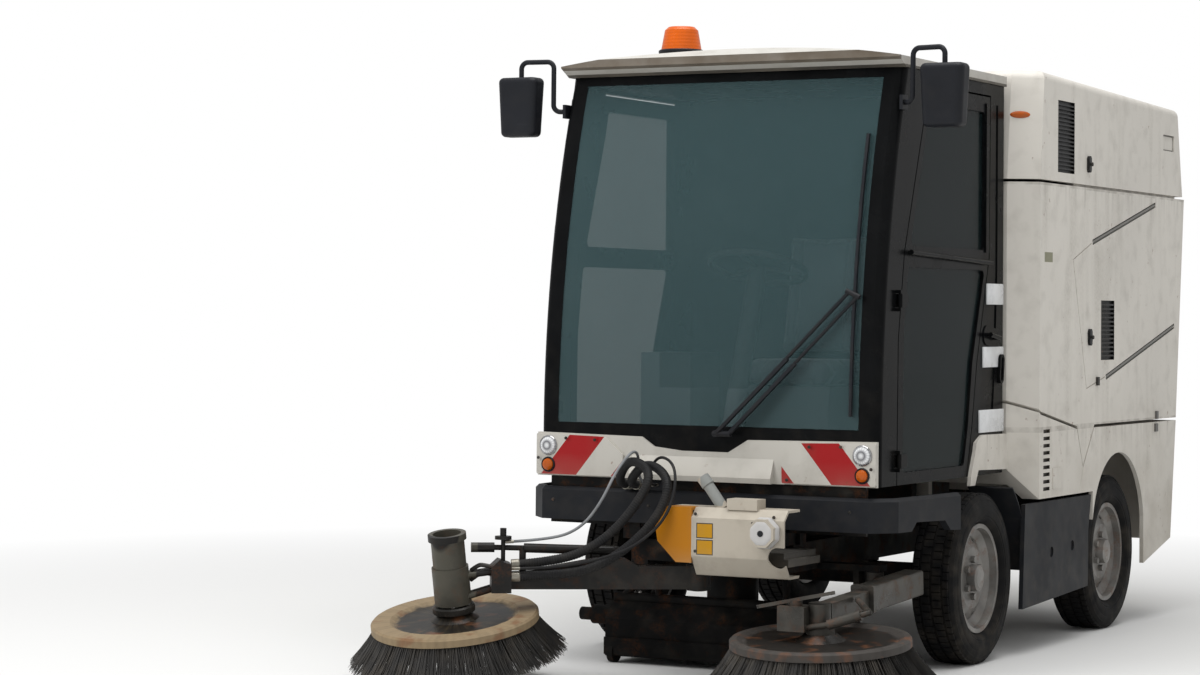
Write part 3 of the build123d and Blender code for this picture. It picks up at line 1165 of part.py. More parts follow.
with BuildPart() as boom_hoses:
    for radius, route in HOSES:
        radii = turn_radii(route)
        print("hose radii", radius, [round(r) for r in radii])
        with BuildLine() as line:
            FilletPolyline(*route, radius=radii)
        with BuildSketch(Plane(origin=line.line @ 0, z_dir=line.line % 0)) as ring:
            Circle(radius)
        sweep(sections=ring.sketch, path=line.line)
save(boom_hoses.part, "boom_hoses")
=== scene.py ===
import bmesh
import bpy
import json
import math
import random
from mathutils import Matrix, Vector


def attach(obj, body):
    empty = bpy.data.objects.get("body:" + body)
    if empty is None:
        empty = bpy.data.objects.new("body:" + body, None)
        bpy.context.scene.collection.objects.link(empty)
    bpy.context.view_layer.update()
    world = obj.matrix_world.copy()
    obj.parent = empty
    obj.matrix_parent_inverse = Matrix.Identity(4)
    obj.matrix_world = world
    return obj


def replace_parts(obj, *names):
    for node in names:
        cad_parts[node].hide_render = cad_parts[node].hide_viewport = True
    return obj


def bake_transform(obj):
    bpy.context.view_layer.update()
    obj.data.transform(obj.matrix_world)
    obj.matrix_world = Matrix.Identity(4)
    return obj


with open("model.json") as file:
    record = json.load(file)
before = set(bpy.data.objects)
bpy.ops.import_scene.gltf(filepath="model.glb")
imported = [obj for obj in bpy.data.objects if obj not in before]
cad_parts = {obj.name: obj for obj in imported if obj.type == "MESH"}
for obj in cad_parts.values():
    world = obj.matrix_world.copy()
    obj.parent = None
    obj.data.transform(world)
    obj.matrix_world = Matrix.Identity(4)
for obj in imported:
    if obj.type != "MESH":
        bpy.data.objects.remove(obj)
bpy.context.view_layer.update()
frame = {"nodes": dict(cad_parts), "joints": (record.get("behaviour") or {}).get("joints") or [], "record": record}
pins = {joint["name"]: joint for joint in frame["joints"]}

# Places are written in millimetres from the front axle, as the vehicle is drawn.
ORIGIN_BACK = -1000 * pins["spin_front_left"]["pos_m"][1]


def at(x, y, z):
    return Vector((x / 1000, (y - ORIGIN_BACK) / 1000, z / 1000))


def pin_of(joint):
    """Place of a joint's pin, in the drawing's mm."""
    x, y, z = pins[joint]["pos_m"]
    return Vector((1000 * x, 1000 * y + ORIGIN_BACK, 1000 * z))


# Materials: the colours and places that several finishes share

WHITE_PAINT = (0.66, 0.63, 0.575)
GRIME = (0.15, 0.128, 0.098)
SEAM_DIRT = (0.085, 0.066, 0.045)
RUST = (0.16, 0.062, 0.025)
OIL = (0.012, 0.011, 0.010)
ROAD_DUST = (0.30, 0.265, 0.21)
UNDER_DUST = (0.12, 0.100, 0.075)
GLASS_DUST = (0.30, 0.31, 0.29)
BLACK_PLASTIC = (0.006, 0.006, 0.007)
SEAM_RUN = 130.0
SEAM_HALF = 12.0
PANE_FOOT = (1.02, 1.35)
LAMP_OUT = 731.6
HEADLAMP_HIGH = 929.0
BULB_RING = 16.5
BULB_RING_HALF = 0.011
CLOTH_THREADS = 1900.0


def toned(colour, share, lift=0.0):
    """A colour made darker or lighter."""
    return tuple(min(1.0, c * share + lift) for c in colour)


class Finish:
    """One procedural material, on the coordinates of the piece itself."""

    def __init__(self, name):
        self.material = bpy.data.materials.new(name)
        self.material.use_nodes = True
        self.nodes = self.material.node_tree.nodes
        self.shader = self.nodes["Principled BSDF"]
        self.place = self.nodes.new("ShaderNodeTexCoord").outputs["Object"]
        split = self.nodes.new("ShaderNodeSeparateXYZ")
        self.material.node_tree.links.new(self.place, split.inputs[0])
        self.x, self.y, self.z = split.outputs
        self.height = None

    def put(self, socket, value):
        if isinstance(value, bpy.types.NodeSocket):
            self.material.node_tree.links.new(value, socket)
        elif isinstance(value, tuple) and socket.type == "RGBA":
            socket.default_value = (*value, 1.0)
        else:
            socket.default_value = value

    def calc(self, how, a, b=0.0, c=0.0):
        node = self.nodes.new("ShaderNodeMath")
        node.operation = how
        for socket, value in zip(node.inputs, (a, b, c)):
            self.put(socket, value)
        return node.outputs[0]

    def times(self, a, b):
        return self.calc("MULTIPLY", a, b)

    def plus(self, a, b):
        return self.calc("ADD", a, b)

    def minus(self, a, b):
        return self.calc("SUBTRACT", a, b)

    def wave(self, value, rate):
        return self.calc("SINE", self.times(value, rate))

    def span(self, a, b):
        """Length of the line that runs a one way and b across it."""
        return self.calc("SQRT", self.plus(self.calc("POWER", a, 2.0), self.calc("POWER", b, 2.0)))

    def noise(self, scale, detail=3.0, stretch=(1.0, 1.0, 1.0), shift=(0.0, 0.0, 0.0)):
        mapping = self.nodes.new("ShaderNodeMapping")
        self.put(mapping.inputs["Vector"], self.place)
        mapping.inputs["Scale"].default_value = stretch
        mapping.inputs["Location"].default_value = shift
        node = self.nodes.new("ShaderNodeTexNoise")
        self.put(node.inputs["Vector"], mapping.outputs[0])
        node.inputs["Scale"].default_value = scale
        node.inputs["Detail"].default_value = detail
        return node.outputs["Fac"]

    def level(self, value, low, high, out_low=0.0, out_high=1.0):
        """A value between low and high, brought to between out_low and out_high."""
        node = self.nodes.new("ShaderNodeMapRange")
        given = {"Value": value, "From Min": low, "From Max": high, "To Min": out_low, "To Max": out_high}
        for name, number in given.items():
            self.put(node.inputs[name], number)
        return node.outputs[0]

    def mix(self, amount, first, second):
        node = self.nodes.new("ShaderNodeMix")
        node.data_type = "RGBA"
        self.put(node.inputs[0], amount)
        self.put(node.inputs[6], first)
        self.put(node.inputs[7], second)
        return node.outputs[2]

    def laid(self, shade, colour, amount, share):
        """The shade with a share of a colour laid over it where the amount is high."""
        return self.mix(self.times(amount, share), shade, colour)

    def marked(self, shade, marks):
        """The shade with each mark's colour where its mask is 1."""
        for mask_of, colour in marks:
            shade = self.mix(mask_of(self), shade, colour)
        return shade

    def near(self, value, low, high):
        """1 between low and high, 0 elsewhere."""
        return self.calc("COMPARE", value, (low + high) / 2, (high - low) / 2)

    def within(self, x=None, y=None, z=None, both_sides=True):
        """1 inside a box given in the drawing's millimetres, 0 outside."""
        side = self.calc("ABSOLUTE", self.x) if both_sides else self.x
        mask = None
        for value, span, back in ((side, x, 0.0), (self.y, y, ORIGIN_BACK), (self.z, z, 0.0)):
            if span:
                part = self.near(value, (span[0] - back) / 1000, (span[1] - back) / 1000)
                mask = part if mask is None else self.times(mask, part)
        return mask

    def off_axis(self, x, y):
        """Distance from an upright line through a drawing place, in metres."""
        return self.span(self.minus(self.x, x / 1000), self.minus(self.y, (y - ORIGIN_BACK) / 1000))

    def bump(self, height, strength=0.3, distance=0.002):
        node = self.nodes.new("ShaderNodeBump")
        node.inputs["Strength"].default_value = strength
        node.inputs["Distance"].default_value = distance
        self.put(node.inputs["Height"], height)
        if self.height is not None:
            self.put(node.inputs["Normal"], self.height)
        self.height = node.outputs[0]

    def done(self, colour, roughness, metallic=0.0, **sockets):
        self.put(self.shader.inputs["Base Color"], colour)
        self.put(self.shader.inputs["Roughness"], roughness)
        self.put(self.shader.inputs["Metallic"], metallic)
        if self.height is not None:
            self.put(self.shader.inputs["Normal"], self.height)
        for name, value in sockets.items():
            self.put(self.shader.inputs[name.replace("_", " ")], value)
        return self.material


def painted(name, colour, rough=0.4, dirt=0.5, rust=0.3, low=0.4, high=1.2, seams=(), marks=()):
    """Paint with runs, dirt under its seams, rust specks and fields of other colours.

    Road dirt is splashed over it: all of it up to the height low, none above the height high, in metres.
    """
    f = Finish(name)
    cloud = f.noise(1.6, 5)
    mottle = f.noise(11.0, 6, shift=(2, 6, 4))
    streaks = f.noise(9.0, 4, stretch=(1.0, 1.0, 0.10))
    fine = f.noise(70.0, 4)
    shade = f.mix(f.level(cloud, 0.35, 0.7, 0.0, 0.30), colour, toned(colour, 0.72))
    shade = f.mix(f.level(mottle, 0.5, 0.8, 0.0, 0.35 * dirt), shade, GRIME)
    shade = f.marked(shade, marks)
    runs = f.times(f.level(streaks, 0.52, 0.74), f.level(fine, 0.35, 0.65, 0.4, 1.0))
    shade = f.laid(shade, GRIME, runs, 0.36 * dirt)
    drips = f.noise(30.0, 5, stretch=(1.0, 1.0, 0.06), shift=(0, 3, 0))
    for height in seams:
        below = f.times(f.level(f.z, (height - SEAM_RUN) / 1000, height / 1000),
                        f.level(f.z, height / 1000, (height + 6) / 1000, 1.0, 0.0))
        edge = f.near(f.z, (height - SEAM_HALF) / 1000, (height + SEAM_HALF) / 1000)
        amount = f.calc("MAXIMUM", f.times(below, f.level(drips, 0.50, 0.72)),
                        f.times(edge, f.level(mottle, 0.35, 0.6)))
        shade = f.laid(shade, SEAM_DIRT, amount, 0.55 * dirt)
    splash = f.times(f.level(f.z, low, high, 1.0, 0.0), f.level(f.noise(5.0, 6), 0.3, 0.7, 0.25, 1.0))
    shade = f.laid(shade, ROAD_DUST, splash, dirt)
    specks = f.level(f.noise(34.0, 6), 0.67, 0.72)
    specked_places = f.level(f.noise(2.3, 2, shift=(3, 1, 7)), 0.48, 0.62)
    shade = f.laid(shade, RUST, f.times(specks, specked_places), rust)
    f.bump(f.noise(260.0, 2), 0.12, 0.0008)
    f.bump(cloud, 0.15, 0.004)
    roughness = f.plus(f.level(fine, 0.3, 0.7, rough, rough + 0.12), f.times(runs, 0.2))
    return f.done(shade, roughness, Specular_IOR_Level=0.28, Coat_Weight=0.04, Coat_Roughness=0.3)


def moulded(name, colour, rough=0.55, dirt=0.5, low=0.4, high=1.2, grain=420.0, gloss=0.3, index=1.5,
            marks=()):
    """Grained plastic, dusty in patches and towards the ground."""
    f = Finish(name)
    patches = f.noise(6.0, 6)
    shade = f.mix(f.level(patches, 0.35, 0.75, 0.0, 0.5), colour, toned(colour, 1.7, 0.002))
    shade = f.marked(shade, marks)
    dust = f.times(f.level(f.z, low, high, 1.0, 0.12), f.level(f.noise(13.0, 6), 0.45, 0.85))
    shade = f.laid(shade, UNDER_DUST, dust, dirt)
    scuffs = f.level(f.noise(24.0, 3, stretch=(0.3, 1.0, 3.0)), 0.68, 0.76)
    shade = f.laid(shade, toned(colour, 3, 0.012), scuffs, 0.2)
    f.bump(f.noise(grain, 2), 0.22, 0.0006)
    f.bump(patches, 0.10, 0.004)
    roughness = f.level(patches, 0.3, 0.7, rough, rough + 0.16)
    return f.done(shade, roughness, Specular_IOR_Level=gloss, IOR=index)


def worn_metal(name, colour, metallic=0.6, rough=0.42, rust=0.5, dirt=0.4, oil=0.5, gloss=0.35, marks=()):
    """Bare or thinly painted steel, oily in places, rusty where the paint has gone."""
    f = Finish(name)
    patches = f.noise(7.0, 6)
    fine = f.noise(95.0, 5)
    shade = f.mix(f.level(patches, 0.35, 0.68), toned(colour, 0.55), colour)
    shade = f.marked(shade, marks)
    rusty = f.times(f.level(f.noise(15.0, 6, shift=(5, 2, 1)), 0.5, 0.66), f.level(fine, 0.35, 0.6))
    shade = f.laid(shade, RUST, rusty, rust)
    oily = f.level(f.noise(4.5, 4, shift=(9, 4, 2)), 0.5, 0.66)
    shade = f.laid(shade, OIL, oily, 0.75 * oil)
    dusty = f.level(f.noise(11.0, 5, shift=(1, 8, 3)), 0.5, 0.85)
    shade = f.laid(shade, UNDER_DUST, dusty, dirt)
    f.bump(fine, 0.3, 0.0012)
    f.bump(rusty, 0.2, 0.001)
    roughness = f.minus(f.plus(rough, f.times(rusty, 0.4)), f.times(oily, 0.16))
    bare = f.times(f.minus(1.0, f.calc("MAXIMUM", rusty, dusty)), metallic)
    return f.done(shade, roughness, bare, Specular_IOR_Level=gloss)


def glazing(name, tint, clear, dusty=0.35, gloss=0.3, index=1.5):
    """Tinted pane, dusty in soft clouds and along its foot."""
    f = Finish(name)
    film = f.level(f.noise(1.7, 5), 0.45, 0.8)
    foot = f.level(f.z, *PANE_FOOT, 0.5, 0.0)
    veil = f.calc("MAXIMUM", f.times(film, 0.6), foot)
    shade = f.laid(tint, GLASS_DUST, veil, 0.25 * dusty)
    alpha = f.plus(clear, f.times(veil, 0.12 * dusty))
    f.bump(f.noise(1.3, 2), 0.02, 0.01)
    roughness = f.level(veil, 0.0, 1.0, 0.14, 0.24)
    return f.done(shade, roughness, IOR=index, Specular_IOR_Level=gloss, Alpha=alpha)


def lens(name, colour, rough=0.12, ribs=900.0, coat=0.15):
    """Moulded lamp lens with fine ribs."""
    f = Finish(name)
    patch = f.noise(14.0, 4)
    shade = f.mix(f.level(patch, 0.4, 0.7, 0.0, 0.35), colour, toned(colour, 0.55))
    shade = f.mix(f.level(f.noise(26.0, 5, shift=(2, 2, 2)), 0.62, 0.8, 0.0, 0.3), shade, UNDER_DUST)
    f.bump(f.wave(f.z, ribs), 0.18, 0.0015)
    return f.done(shade, f.level(patch, 0.3, 0.7, rough, rough + 0.1), Coat_Weight=coat, Coat_Roughness=0.08,
                  Specular_IOR_Level=0.3)


def silvered(name):
    """Mirror pane with a faint haze."""
    f = Finish(name)
    haze = f.noise(9.0, 4)
    shade = f.mix(f.level(haze, 0.5, 0.8, 0.0, 0.25), (0.80, 0.82, 0.82), (0.50, 0.50, 0.48))
    f.bump(haze, 0.01, 0.001)
    return f.done(shade, f.level(haze, 0.3, 0.7, 0.03, 0.10), 1.0)


def headlamp():
    """Clear headlamp: the chrome reflector behind it laid in as a bright painted reflection, with a dark ring
    round the bulb and facet stripes of painted shade.
    """
    f = Finish("headlamp_lens")
    across = f.minus(f.calc("ABSOLUTE", f.x), LAMP_OUT / 1000)
    up = f.minus(f.z, HEADLAMP_HIGH / 1000)
    rings = f.calc("ABSOLUTE", f.minus(f.span(across, up), BULB_RING / 1000))
    facets = f.wave(f.calc("ARCTAN2", up, across), 18.0)
    # painted reflection: the reflector's brightness as bright grey in the lens colour, dark in a ring round the
    # bulb
    shade = f.mix(f.level(rings, 0.0, BULB_RING_HALF), (0.10, 0.10, 0.11), (0.74, 0.75, 0.76))
    # painted shade: darker stripes where the facets turn
    shade = f.mix(f.level(facets, 0.2, 1.0, 0.0, 0.35), shade, (0.22, 0.22, 0.24))
    shade = f.mix(f.level(f.noise(30.0, 4), 0.6, 0.8, 0.0, 0.3), shade, ROAD_DUST)
    f.bump(facets, 0.2, 0.001)
    roughness = f.level(rings, 0.0, BULB_RING_HALF, 0.10, 0.20)
    return f.done(shade, roughness, 0.1, Coat_Weight=0.8, Coat_Roughness=0.04)


def rubber(name, colour=(0.007, 0.007, 0.008), dust=0.35, gloss=0.25):
    """Matt rubber or plastic strand, dusty in patches."""
    f = Finish(name)
    patches = f.noise(8.0, 6)
    shade = f.mix(f.level(patches, 0.35, 0.7), colour, toned(colour, 1.9))
    dusty = f.times(f.level(f.noise(17.0, 6, shift=(4, 4, 1)), 0.4, 0.85),
                    f.level(f.noise(3.0, 3), 0.3, 0.65))
    shade = f.laid(shade, UNDER_DUST, dusty, dust)
    f.bump(f.noise(210.0, 4), 0.3, 0.0012)
    f.bump(patches, 0.1, 0.003)
    return f.done(shade, f.level(patches, 0.3, 0.7, 0.6, 0.82), Specular_IOR_Level=gloss)


def brush_disc(name, spin, ring, middle, edge, streaks):
    """Brush plate: a worn painted ring round an oily dark middle, streaked outwards by the spin."""
    f = Finish(name)
    x, y, _ = pin_of(spin)
    around = f.calc("ARCTAN2", f.minus(f.x, x / 1000), f.minus(f.y, (y - ORIGIN_BACK) / 1000))
    rays = f.level(f.plus(f.wave(around, 23.0), f.wave(around, 61.0)), -2.0, 2.0)
    rays = f.times(rays, f.level(f.noise(16.0, 5), 0.3, 0.7))
    uneven = f.times(f.minus(f.noise(24.0, 5), 0.5), 0.05)
    share = f.level(f.plus(f.off_axis(x, y), uneven), edge - 0.012, edge + 0.012)
    shade = f.mix(share, middle, ring)
    shade = f.laid(shade, toned(ring, 0.35), rays, streaks)
    shade = f.laid(shade, RUST, f.level(f.noise(13.0, 6, shift=(5, 2, 1)), 0.55, 0.7), 0.6)
    f.bump(f.noise(120.0, 4), 0.25, 0.001)
    f.bump(rays, 0.15, 0.001)
    return f.done(shade, f.level(share, 0.0, 1.0, 0.42, 0.62), Specular_IOR_Level=0.3)


def woven(name, dark, light):
    """Plain weave on the piece's own coordinates, a little faded in patches."""
    f = Finish(name)
    warp = f.wave(f.plus(f.x, f.times(f.z, 0.35)), CLOTH_THREADS)
    weft = f.wave(f.plus(f.y, f.z), CLOTH_THREADS)
    weave = f.times(warp, weft)
    shade = f.mix(f.level(weave, -1.0, 1.0), dark, light)
    faded = f.level(f.noise(5.0, 5), 0.4, 0.75, 0.0, 0.4)
    shade = f.mix(faded, shade, toned(light, 1.8))
    f.bump(weave, 0.35, 0.0008)
    f.bump(f.noise(30.0, 4), 0.2, 0.003)
    return f.done(shade, f.level(faded, 0.0, 0.4, 0.82, 0.92), Sheen_Weight=0.3)


# Marks: fields of another colour on painted pieces

FLANK = (905, 929)
FLANK_FACE = (915, 929.5)
FLANK_EDGE = (915, 931)
PROUD_OF_FLANK = (930.5, 950)
COVER_FRONT = (-1306, -1296)
BAND_FOOT = 810.0
BAND_SLOPE = 0.82
BAND_SPANS = ((592, 764), (300, 424))
MOTOR_PLACE = (-725.0, -1745.0)
BEACON_PLACE = (-400.0, -380.0)


def field(x=None, y=None, z=None, both_sides=True):
    """A box given in the drawing's mm."""
    return lambda f: f.within(x, y, z, both_sides)


def disc(x, y, radius, blur):
    """An upright round field, its edge blurred over a few mm."""
    return lambda f: f.level(f.off_axis(x, y), radius / 1000, (radius + blur) / 1000, 1.0, 0.0)


def groove_shade_line(y, z, wide):
    """A thin line of painted shade round a sunk field on both flanks."""
    def mask(f):
        outer = f.within(x=FLANK_EDGE, y=y, z=z)
        inner = f.within(x=FLANK_EDGE, y=(y[0] + wide, y[1] - wide), z=(z[0] + wide, z[1] - wide))
        return f.minus(outer, inner)
    return mask


def slanted(start, end, half):
    """A straight band along both flanks, from (y, z) to (y, z) in mm, half its width to each side."""
    slope = (end[1] - start[1]) / (end[0] - start[0])

    def mask(f):
        along = f.minus(f.y, (start[0] - ORIGIN_BACK) / 1000)
        off = f.calc("ABSOLUTE", f.minus(f.z, f.calc("MULTIPLY_ADD", along, slope, start[1] / 1000)))
        band = f.level(off, half / 1000, half / 1000 + 0.001, 1.0, 0.0)
        return f.times(band, f.within(x=FLANK_FACE, y=(start[0], end[0])))
    return mask


def red_band(f):
    """Slanted red bands of the two front lamp panels, and the small red corner beside each."""
    slant = f.plus(f.calc("ABSOLUTE", f.x), f.times(f.minus(f.z, BAND_FOOT / 1000), BAND_SLOPE))
    wide, narrow = (f.near(slant, low / 1000, high / 1000) for low, high in BAND_SPANS)
    return f.times(f.calc("MAXIMUM", wide, narrow), f.within(x=(371, 795), y=(-975, -953.5), z=(806, 978)))


def roof_edge_dirt(f):
    """Dirt that lies along the roof's front edge."""
    return f.times(f.level(f.noise(7.0, 5), 0.2, 0.6, 0.75, 1.0), f.within(y=(-800, -735), z=(2500, 2600)))


def sticker(low):
    """Marks for a bordered square on the bracket cover's front, from its lower edge up."""
    return [(field((155 + wide, 230 - wide), COVER_FRONT, (low + wide, low + 62 - wide), False), colour)
            for wide, colour in ((0, STICKER_EDGE), (4, STICKER_YELLOW))]


STRIPE_GREY = (0.20, 0.195, 0.18)
# near-black of the painted shadow under the bracket cover
COVER_PAINTED_SHADOW = (0.035, 0.034, 0.032)
STICKER_EDGE = (0.035, 0.032, 0.025)
STICKER_YELLOW = (0.46, 0.225, 0.004)

BODY_MARKS = (
    # the lid's sunk square outlined in painted shade, air grilles of housing and hopper, the housing's slots
    # painted shade in the groove round the lid's sunk square
    (groove_shade_line((2367, 2547), (2342, 2422), 7), (0.16, 0.15, 0.13)),
    (field(FLANK, (1418, 1614), (1295, 1578)), BLACK_PLASTIC),
    (field(FLANK, (806, 1033), (2160, 2490)), BLACK_PLASTIC),
    (field((905, 929.5), (625, 716), (706, 998)), BLACK_PLASTIC),
    # grips of hopper and lid, the fasteners
    (field(PROUD_OF_FLANK, (1205, 1275), (1360, 1448)), BLACK_PLASTIC),
    (field(PROUD_OF_FLANK, (1195, 1245), (2172, 2258)), BLACK_PLASTIC),
    (field((930.5, 945), (1340, 1380), (1170, 1220)), BLACK_PLASTIC),
    (field((930.5, 945), (2230, 2290), (925, 1035)), (0.10, 0.10, 0.10)),
    # guide rails, and a faded patch in front
    (slanted((1290, 1850), (2244, 2062), 14), STRIPE_GREY),
    (slanted((1490, 1212), (2560, 1458), 14), STRIPE_GREY),
    (field((925, 931), (635, 742), (1746, 1791)), (0.23, 0.225, 0.15)),
)
ROOF_MARKS = (
    # dirt in front, dark gutter, the beacon's foot
    (roof_edge_dirt, (0.110, 0.088, 0.066)),
    (field(z=(2500, 2541)), (0.030, 0.028, 0.026)),
    (disc(*BEACON_PLACE, 128, 2), BLACK_PLASTIC),
)
COVER_MARKS = (
    # yellow front, grey top, two bordered squares, painted shadow on the underside
    (field((-60, 132.4), (-1330, -1216), (480, 730), False), (0.42, 0.155, 0.0005)),
    (field((142, 240), (-1260, -1170), (722, 850), False), (0.24, 0.25, 0.24)),
    *sticker(526),
    *sticker(593),
    # painted shadow: a near-black field under and inside the bracket cover, where shade falls
    (field((-60, 540), (-1214, -800), (300, 712), False), COVER_PAINTED_SHADOW),
    (field((-60, 131), (-1330, -1000), (300, 491), False), COVER_PAINTED_SHADOW),
)

# Every finish, by the name that slots and pieces call it

finishes = {
    "body_white": painted(
        "weathered_white_paint", WHITE_PAINT, dirt=0.62, rust=0.7, seams=(2105, 990), marks=BODY_MARKS),
    "roof_white": painted(
        "chalky_roof_paint", (0.50, 0.485, 0.45), rough=0.5, dirt=0.6, rust=0.4, low=2.5, high=2.6,
        marks=ROOF_MARKS),
    "front_white": painted(
        "front_panel_paint", (0.52, 0.50, 0.455), dirt=0.45, rust=0.5, low=0.70, high=0.90,
        marks=((red_band, (0.31, 0.004, 0.006)),)),
    "cover_white": painted(
        "bracket_cover_paint", (0.46, 0.415, 0.345), dirt=0.75, rust=0.6, low=0.38, high=0.56,
        marks=COVER_MARKS),
    "cab_black": moulded(
        "gloss_black_pillars", (0.0035, 0.0038, 0.0042), rough=0.16, dirt=0.08, low=0.7, high=1.6,
        grain=140.0, index=1.2),
    "bumper_grey": moulded(
        "dark_bumper_plastic", (0.0095, 0.0105, 0.0130), rough=0.5, dirt=0.25, low=0.3, high=0.9,
        gloss=0.22),
    "mirror_black": moulded(
        "grained_black_plastic", (0.008, 0.009, 0.012), rough=0.42, dirt=0.10, low=2.0, high=2.6,
        gloss=0.25),
    "interior_grey": moulded(
        "cab_interior_plastic", (0.050, 0.055, 0.060), rough=0.6, dirt=0.2, low=0.8, high=1.3,
        marks=((field((0, 330), (-790, -100), (1180, 2100)), BLACK_PLASTIC),)),
    "frame_black": worn_metal(
        "chassis_paint", (0.008, 0.008, 0.008), metallic=0.05, rough=0.6, rust=0.3, dirt=0.3, gloss=0.15),
    "engine_iron": worn_metal("engine_iron", (0.06, 0.06, 0.06), metallic=0.4, rough=0.5, dirt=0.3),
    "nozzle_black": worn_metal(
        "nozzle_steel", (0.004, 0.004, 0.004), metallic=0.0, rough=0.6, rust=0.15, dirt=0.1, gloss=0.1),
    "arm_grey": worn_metal("arm_steel", (0.085, 0.080, 0.070), metallic=0.35, rust=0.35, dirt=0.35),
    "boom_dark": worn_metal(
        "boom_steel", (0.016, 0.015, 0.014), metallic=0.15, rough=0.45, rust=0.25, dirt=0.2, oil=0.8,
        gloss=0.25, marks=((disc(*MOTOR_PLACE, 100, 4), (0.072, 0.068, 0.054)),)),
    "rim_grey": worn_metal(
        "wheel_silver", (0.27, 0.26, 0.245), metallic=0.35, rough=0.45, rust=0.45, dirt=0.6, oil=0.25),
    "ringed_plate": brush_disc(
        "ringed_brush_plate", "arm_brush_spin", (0.25, 0.185, 0.108), (0.006, 0.0055, 0.005), 0.240, 0.45),
    "rusty_plate": brush_disc(
        "rusty_brush_plate", "side_brush_spin", (0.052, 0.046, 0.041), (0.014, 0.012, 0.010), 0.300, 0.5),
    "bristle_black": rubber("bristle_strands", (0.030, 0.029, 0.028), 0.6),
    "tyre_rubber": rubber("tyre_rubber", (0.0040, 0.0040, 0.0043), 0.35, gloss=0.12),
    "hose_black": rubber("hose_rubber", (0.004, 0.004, 0.0045), 0.2, gloss=0.4),
    "seat_fabric": moulded(
        "seat_cloth_shell", (0.014, 0.014, 0.016), rough=0.85, dirt=0.2, low=0.8, high=1.3),
    "screen_glass": glazing("windscreen_glass", (0.075, 0.135, 0.145), 0.27, gloss=0.2),
    "door_glass": glazing("door_pane_glass", (0.005, 0.011, 0.012), 0.70, 0.2, gloss=0.4, index=1.2),
    "beacon_amber": lens("beacon_amber", (0.60, 0.100, 0.001), rough=0.22, ribs=420.0, coat=0.05),
    "amber": lens("amber_lens", (0.46, 0.088, 0.003)),
    "lamp_glass": lens("lamp_lens", (0.70, 0.71, 0.70), ribs=700.0),
    "headlamp_glass": headlamp(),
    "tail_red": lens("tail_lamp_red", (0.42, 0.012, 0.010), ribs=800.0),
    "oily_steel": worn_metal(
        "oily_collar_steel", (0.05, 0.048, 0.044), metallic=0.5, rough=0.4, rust=0.4, dirt=0.3, oil=0.8),
    "fitting_zinc": worn_metal(
        "zinc_fittings", (0.36, 0.34, 0.29), metallic=0.8, rough=0.35, rust=0.35, dirt=0.3, oil=0.4),
    "chrome": worn_metal(
        "lamp_chrome", (0.56, 0.56, 0.57), metallic=0.95, rough=0.16, rust=0.1, dirt=0.15, oil=0.0),
    "mirror_silver": silvered("mirror_pane"),
    "line_grey": rubber("grey_water_line", (0.14, 0.145, 0.15), 0.3),
    "reflector_white": lens("white_reflector", (0.74, 0.75, 0.76), rough=0.2, ribs=1500.0),
    "knob_white": painted(
        "knob_plastic", (0.52, 0.51, 0.50), rough=0.35, dirt=0.35, rust=0.1, low=0.5, high=0.6),
    "seat_cloth": woven("seat_cloth", (0.030, 0.031, 0.036), (0.055, 0.056, 0.064)),
}

# Which finish each CAD node wears, where it isn't the finish of its own slot
own_finish = {
    "cab_roof": "roof_white", "front_fascia": "front_white", "arm_bracket": "cover_white",
    "windscreen": "screen_glass", "door_glass_left": "door_glass", "door_glass_right": "door_glass",
    "side_brush_plate": "rusty_plate", "arm_brush_plate": "ringed_plate", "swing_boom": "boom_dark",
    "beacon_lens": "beacon_amber",
}
for part in frame["record"]["subparts"]:
    name = part["node"]
    node = frame["nodes"][name]
    material = finishes[own_finish.get(name, part["material_slot"])]
    node.data.materials.clear()
    node.data.materials.append(material)


# Modelling helpers


def start_fresh():
    """Leaves edit mode with nothing selected."""
    if bpy.context.object and bpy.context.object.mode != "OBJECT":
        bpy.ops.object.mode_set(mode="OBJECT")
    bpy.ops.object.select_all(action="DESELECT")


def take(piece):
    """Leaves one piece selected and active."""
    start_fresh()
    piece.select_set(True)
    bpy.context.view_layer.objects.active = piece


def edit(piece, kind="FACE", chosen="DESELECT"):
    """Opens a piece in edit mode with nothing or, by SELECT, everything chosen."""
    take(piece)
    bpy.ops.object.mode_set(mode="EDIT")
    bpy.ops.mesh.select_mode(type=kind)
    bpy.ops.mesh.select_all(action=chosen)


def pick(piece, test):
    """Selects, in edit mode, the faces whose normal passes the test."""
    shape = bmesh.from_edit_mesh(piece.data)
    for face in shape.faces:
        face.select_set(bool(test(face.normal)))
    bmesh.update_edit_mesh(piece.data)


def out_of_edit():
    """Leaves edit mode and gives back the piece."""
    bpy.ops.object.mode_set(mode="OBJECT")
    return bpy.context.object


def copy_of(piece, matrix):
    """A copy with its own mesh, moved by a matrix."""
    twin = piece.copy()
    twin.data = piece.data.copy()
    twin.data.transform(matrix)
    if matrix.determinant() < 0:
        twin.data.flip_normals()
    bpy.context.collection.objects.link(twin)
    return twin


def joined(parts):
    """All the parts as one piece."""
    start_fresh()
    for part in parts:
        part.select_set(True)
    bpy.context.view_layer.objects.active = parts[0]
    bpy.ops.object.join()
    return bpy.context.object


def drop(*pieces):
    """Removes patterns that were only there to be copied."""
    for piece in pieces:
        bpy.data.objects.remove(piece)


def dressed(piece, name, finish, smooth):
    """A finished piece, smoothed and named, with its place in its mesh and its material."""
    take(piece)
    bpy.ops.object.transform_apply(location=True, rotation=True, scale=True)
    if smooth:
        bpy.ops.object.shade_smooth_by_angle(angle=math.radians(smooth))
    piece.name = name
    piece.data.name = name
    piece.data.materials.clear()
    piece.data.materials.append(finishes[finish])
    return piece


def made(piece, name, finish, body, smooth=32.0):
    """A finished piece that rides on one body."""
    dressed(piece, name, finish, smooth)
    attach(piece, body)
    return piece


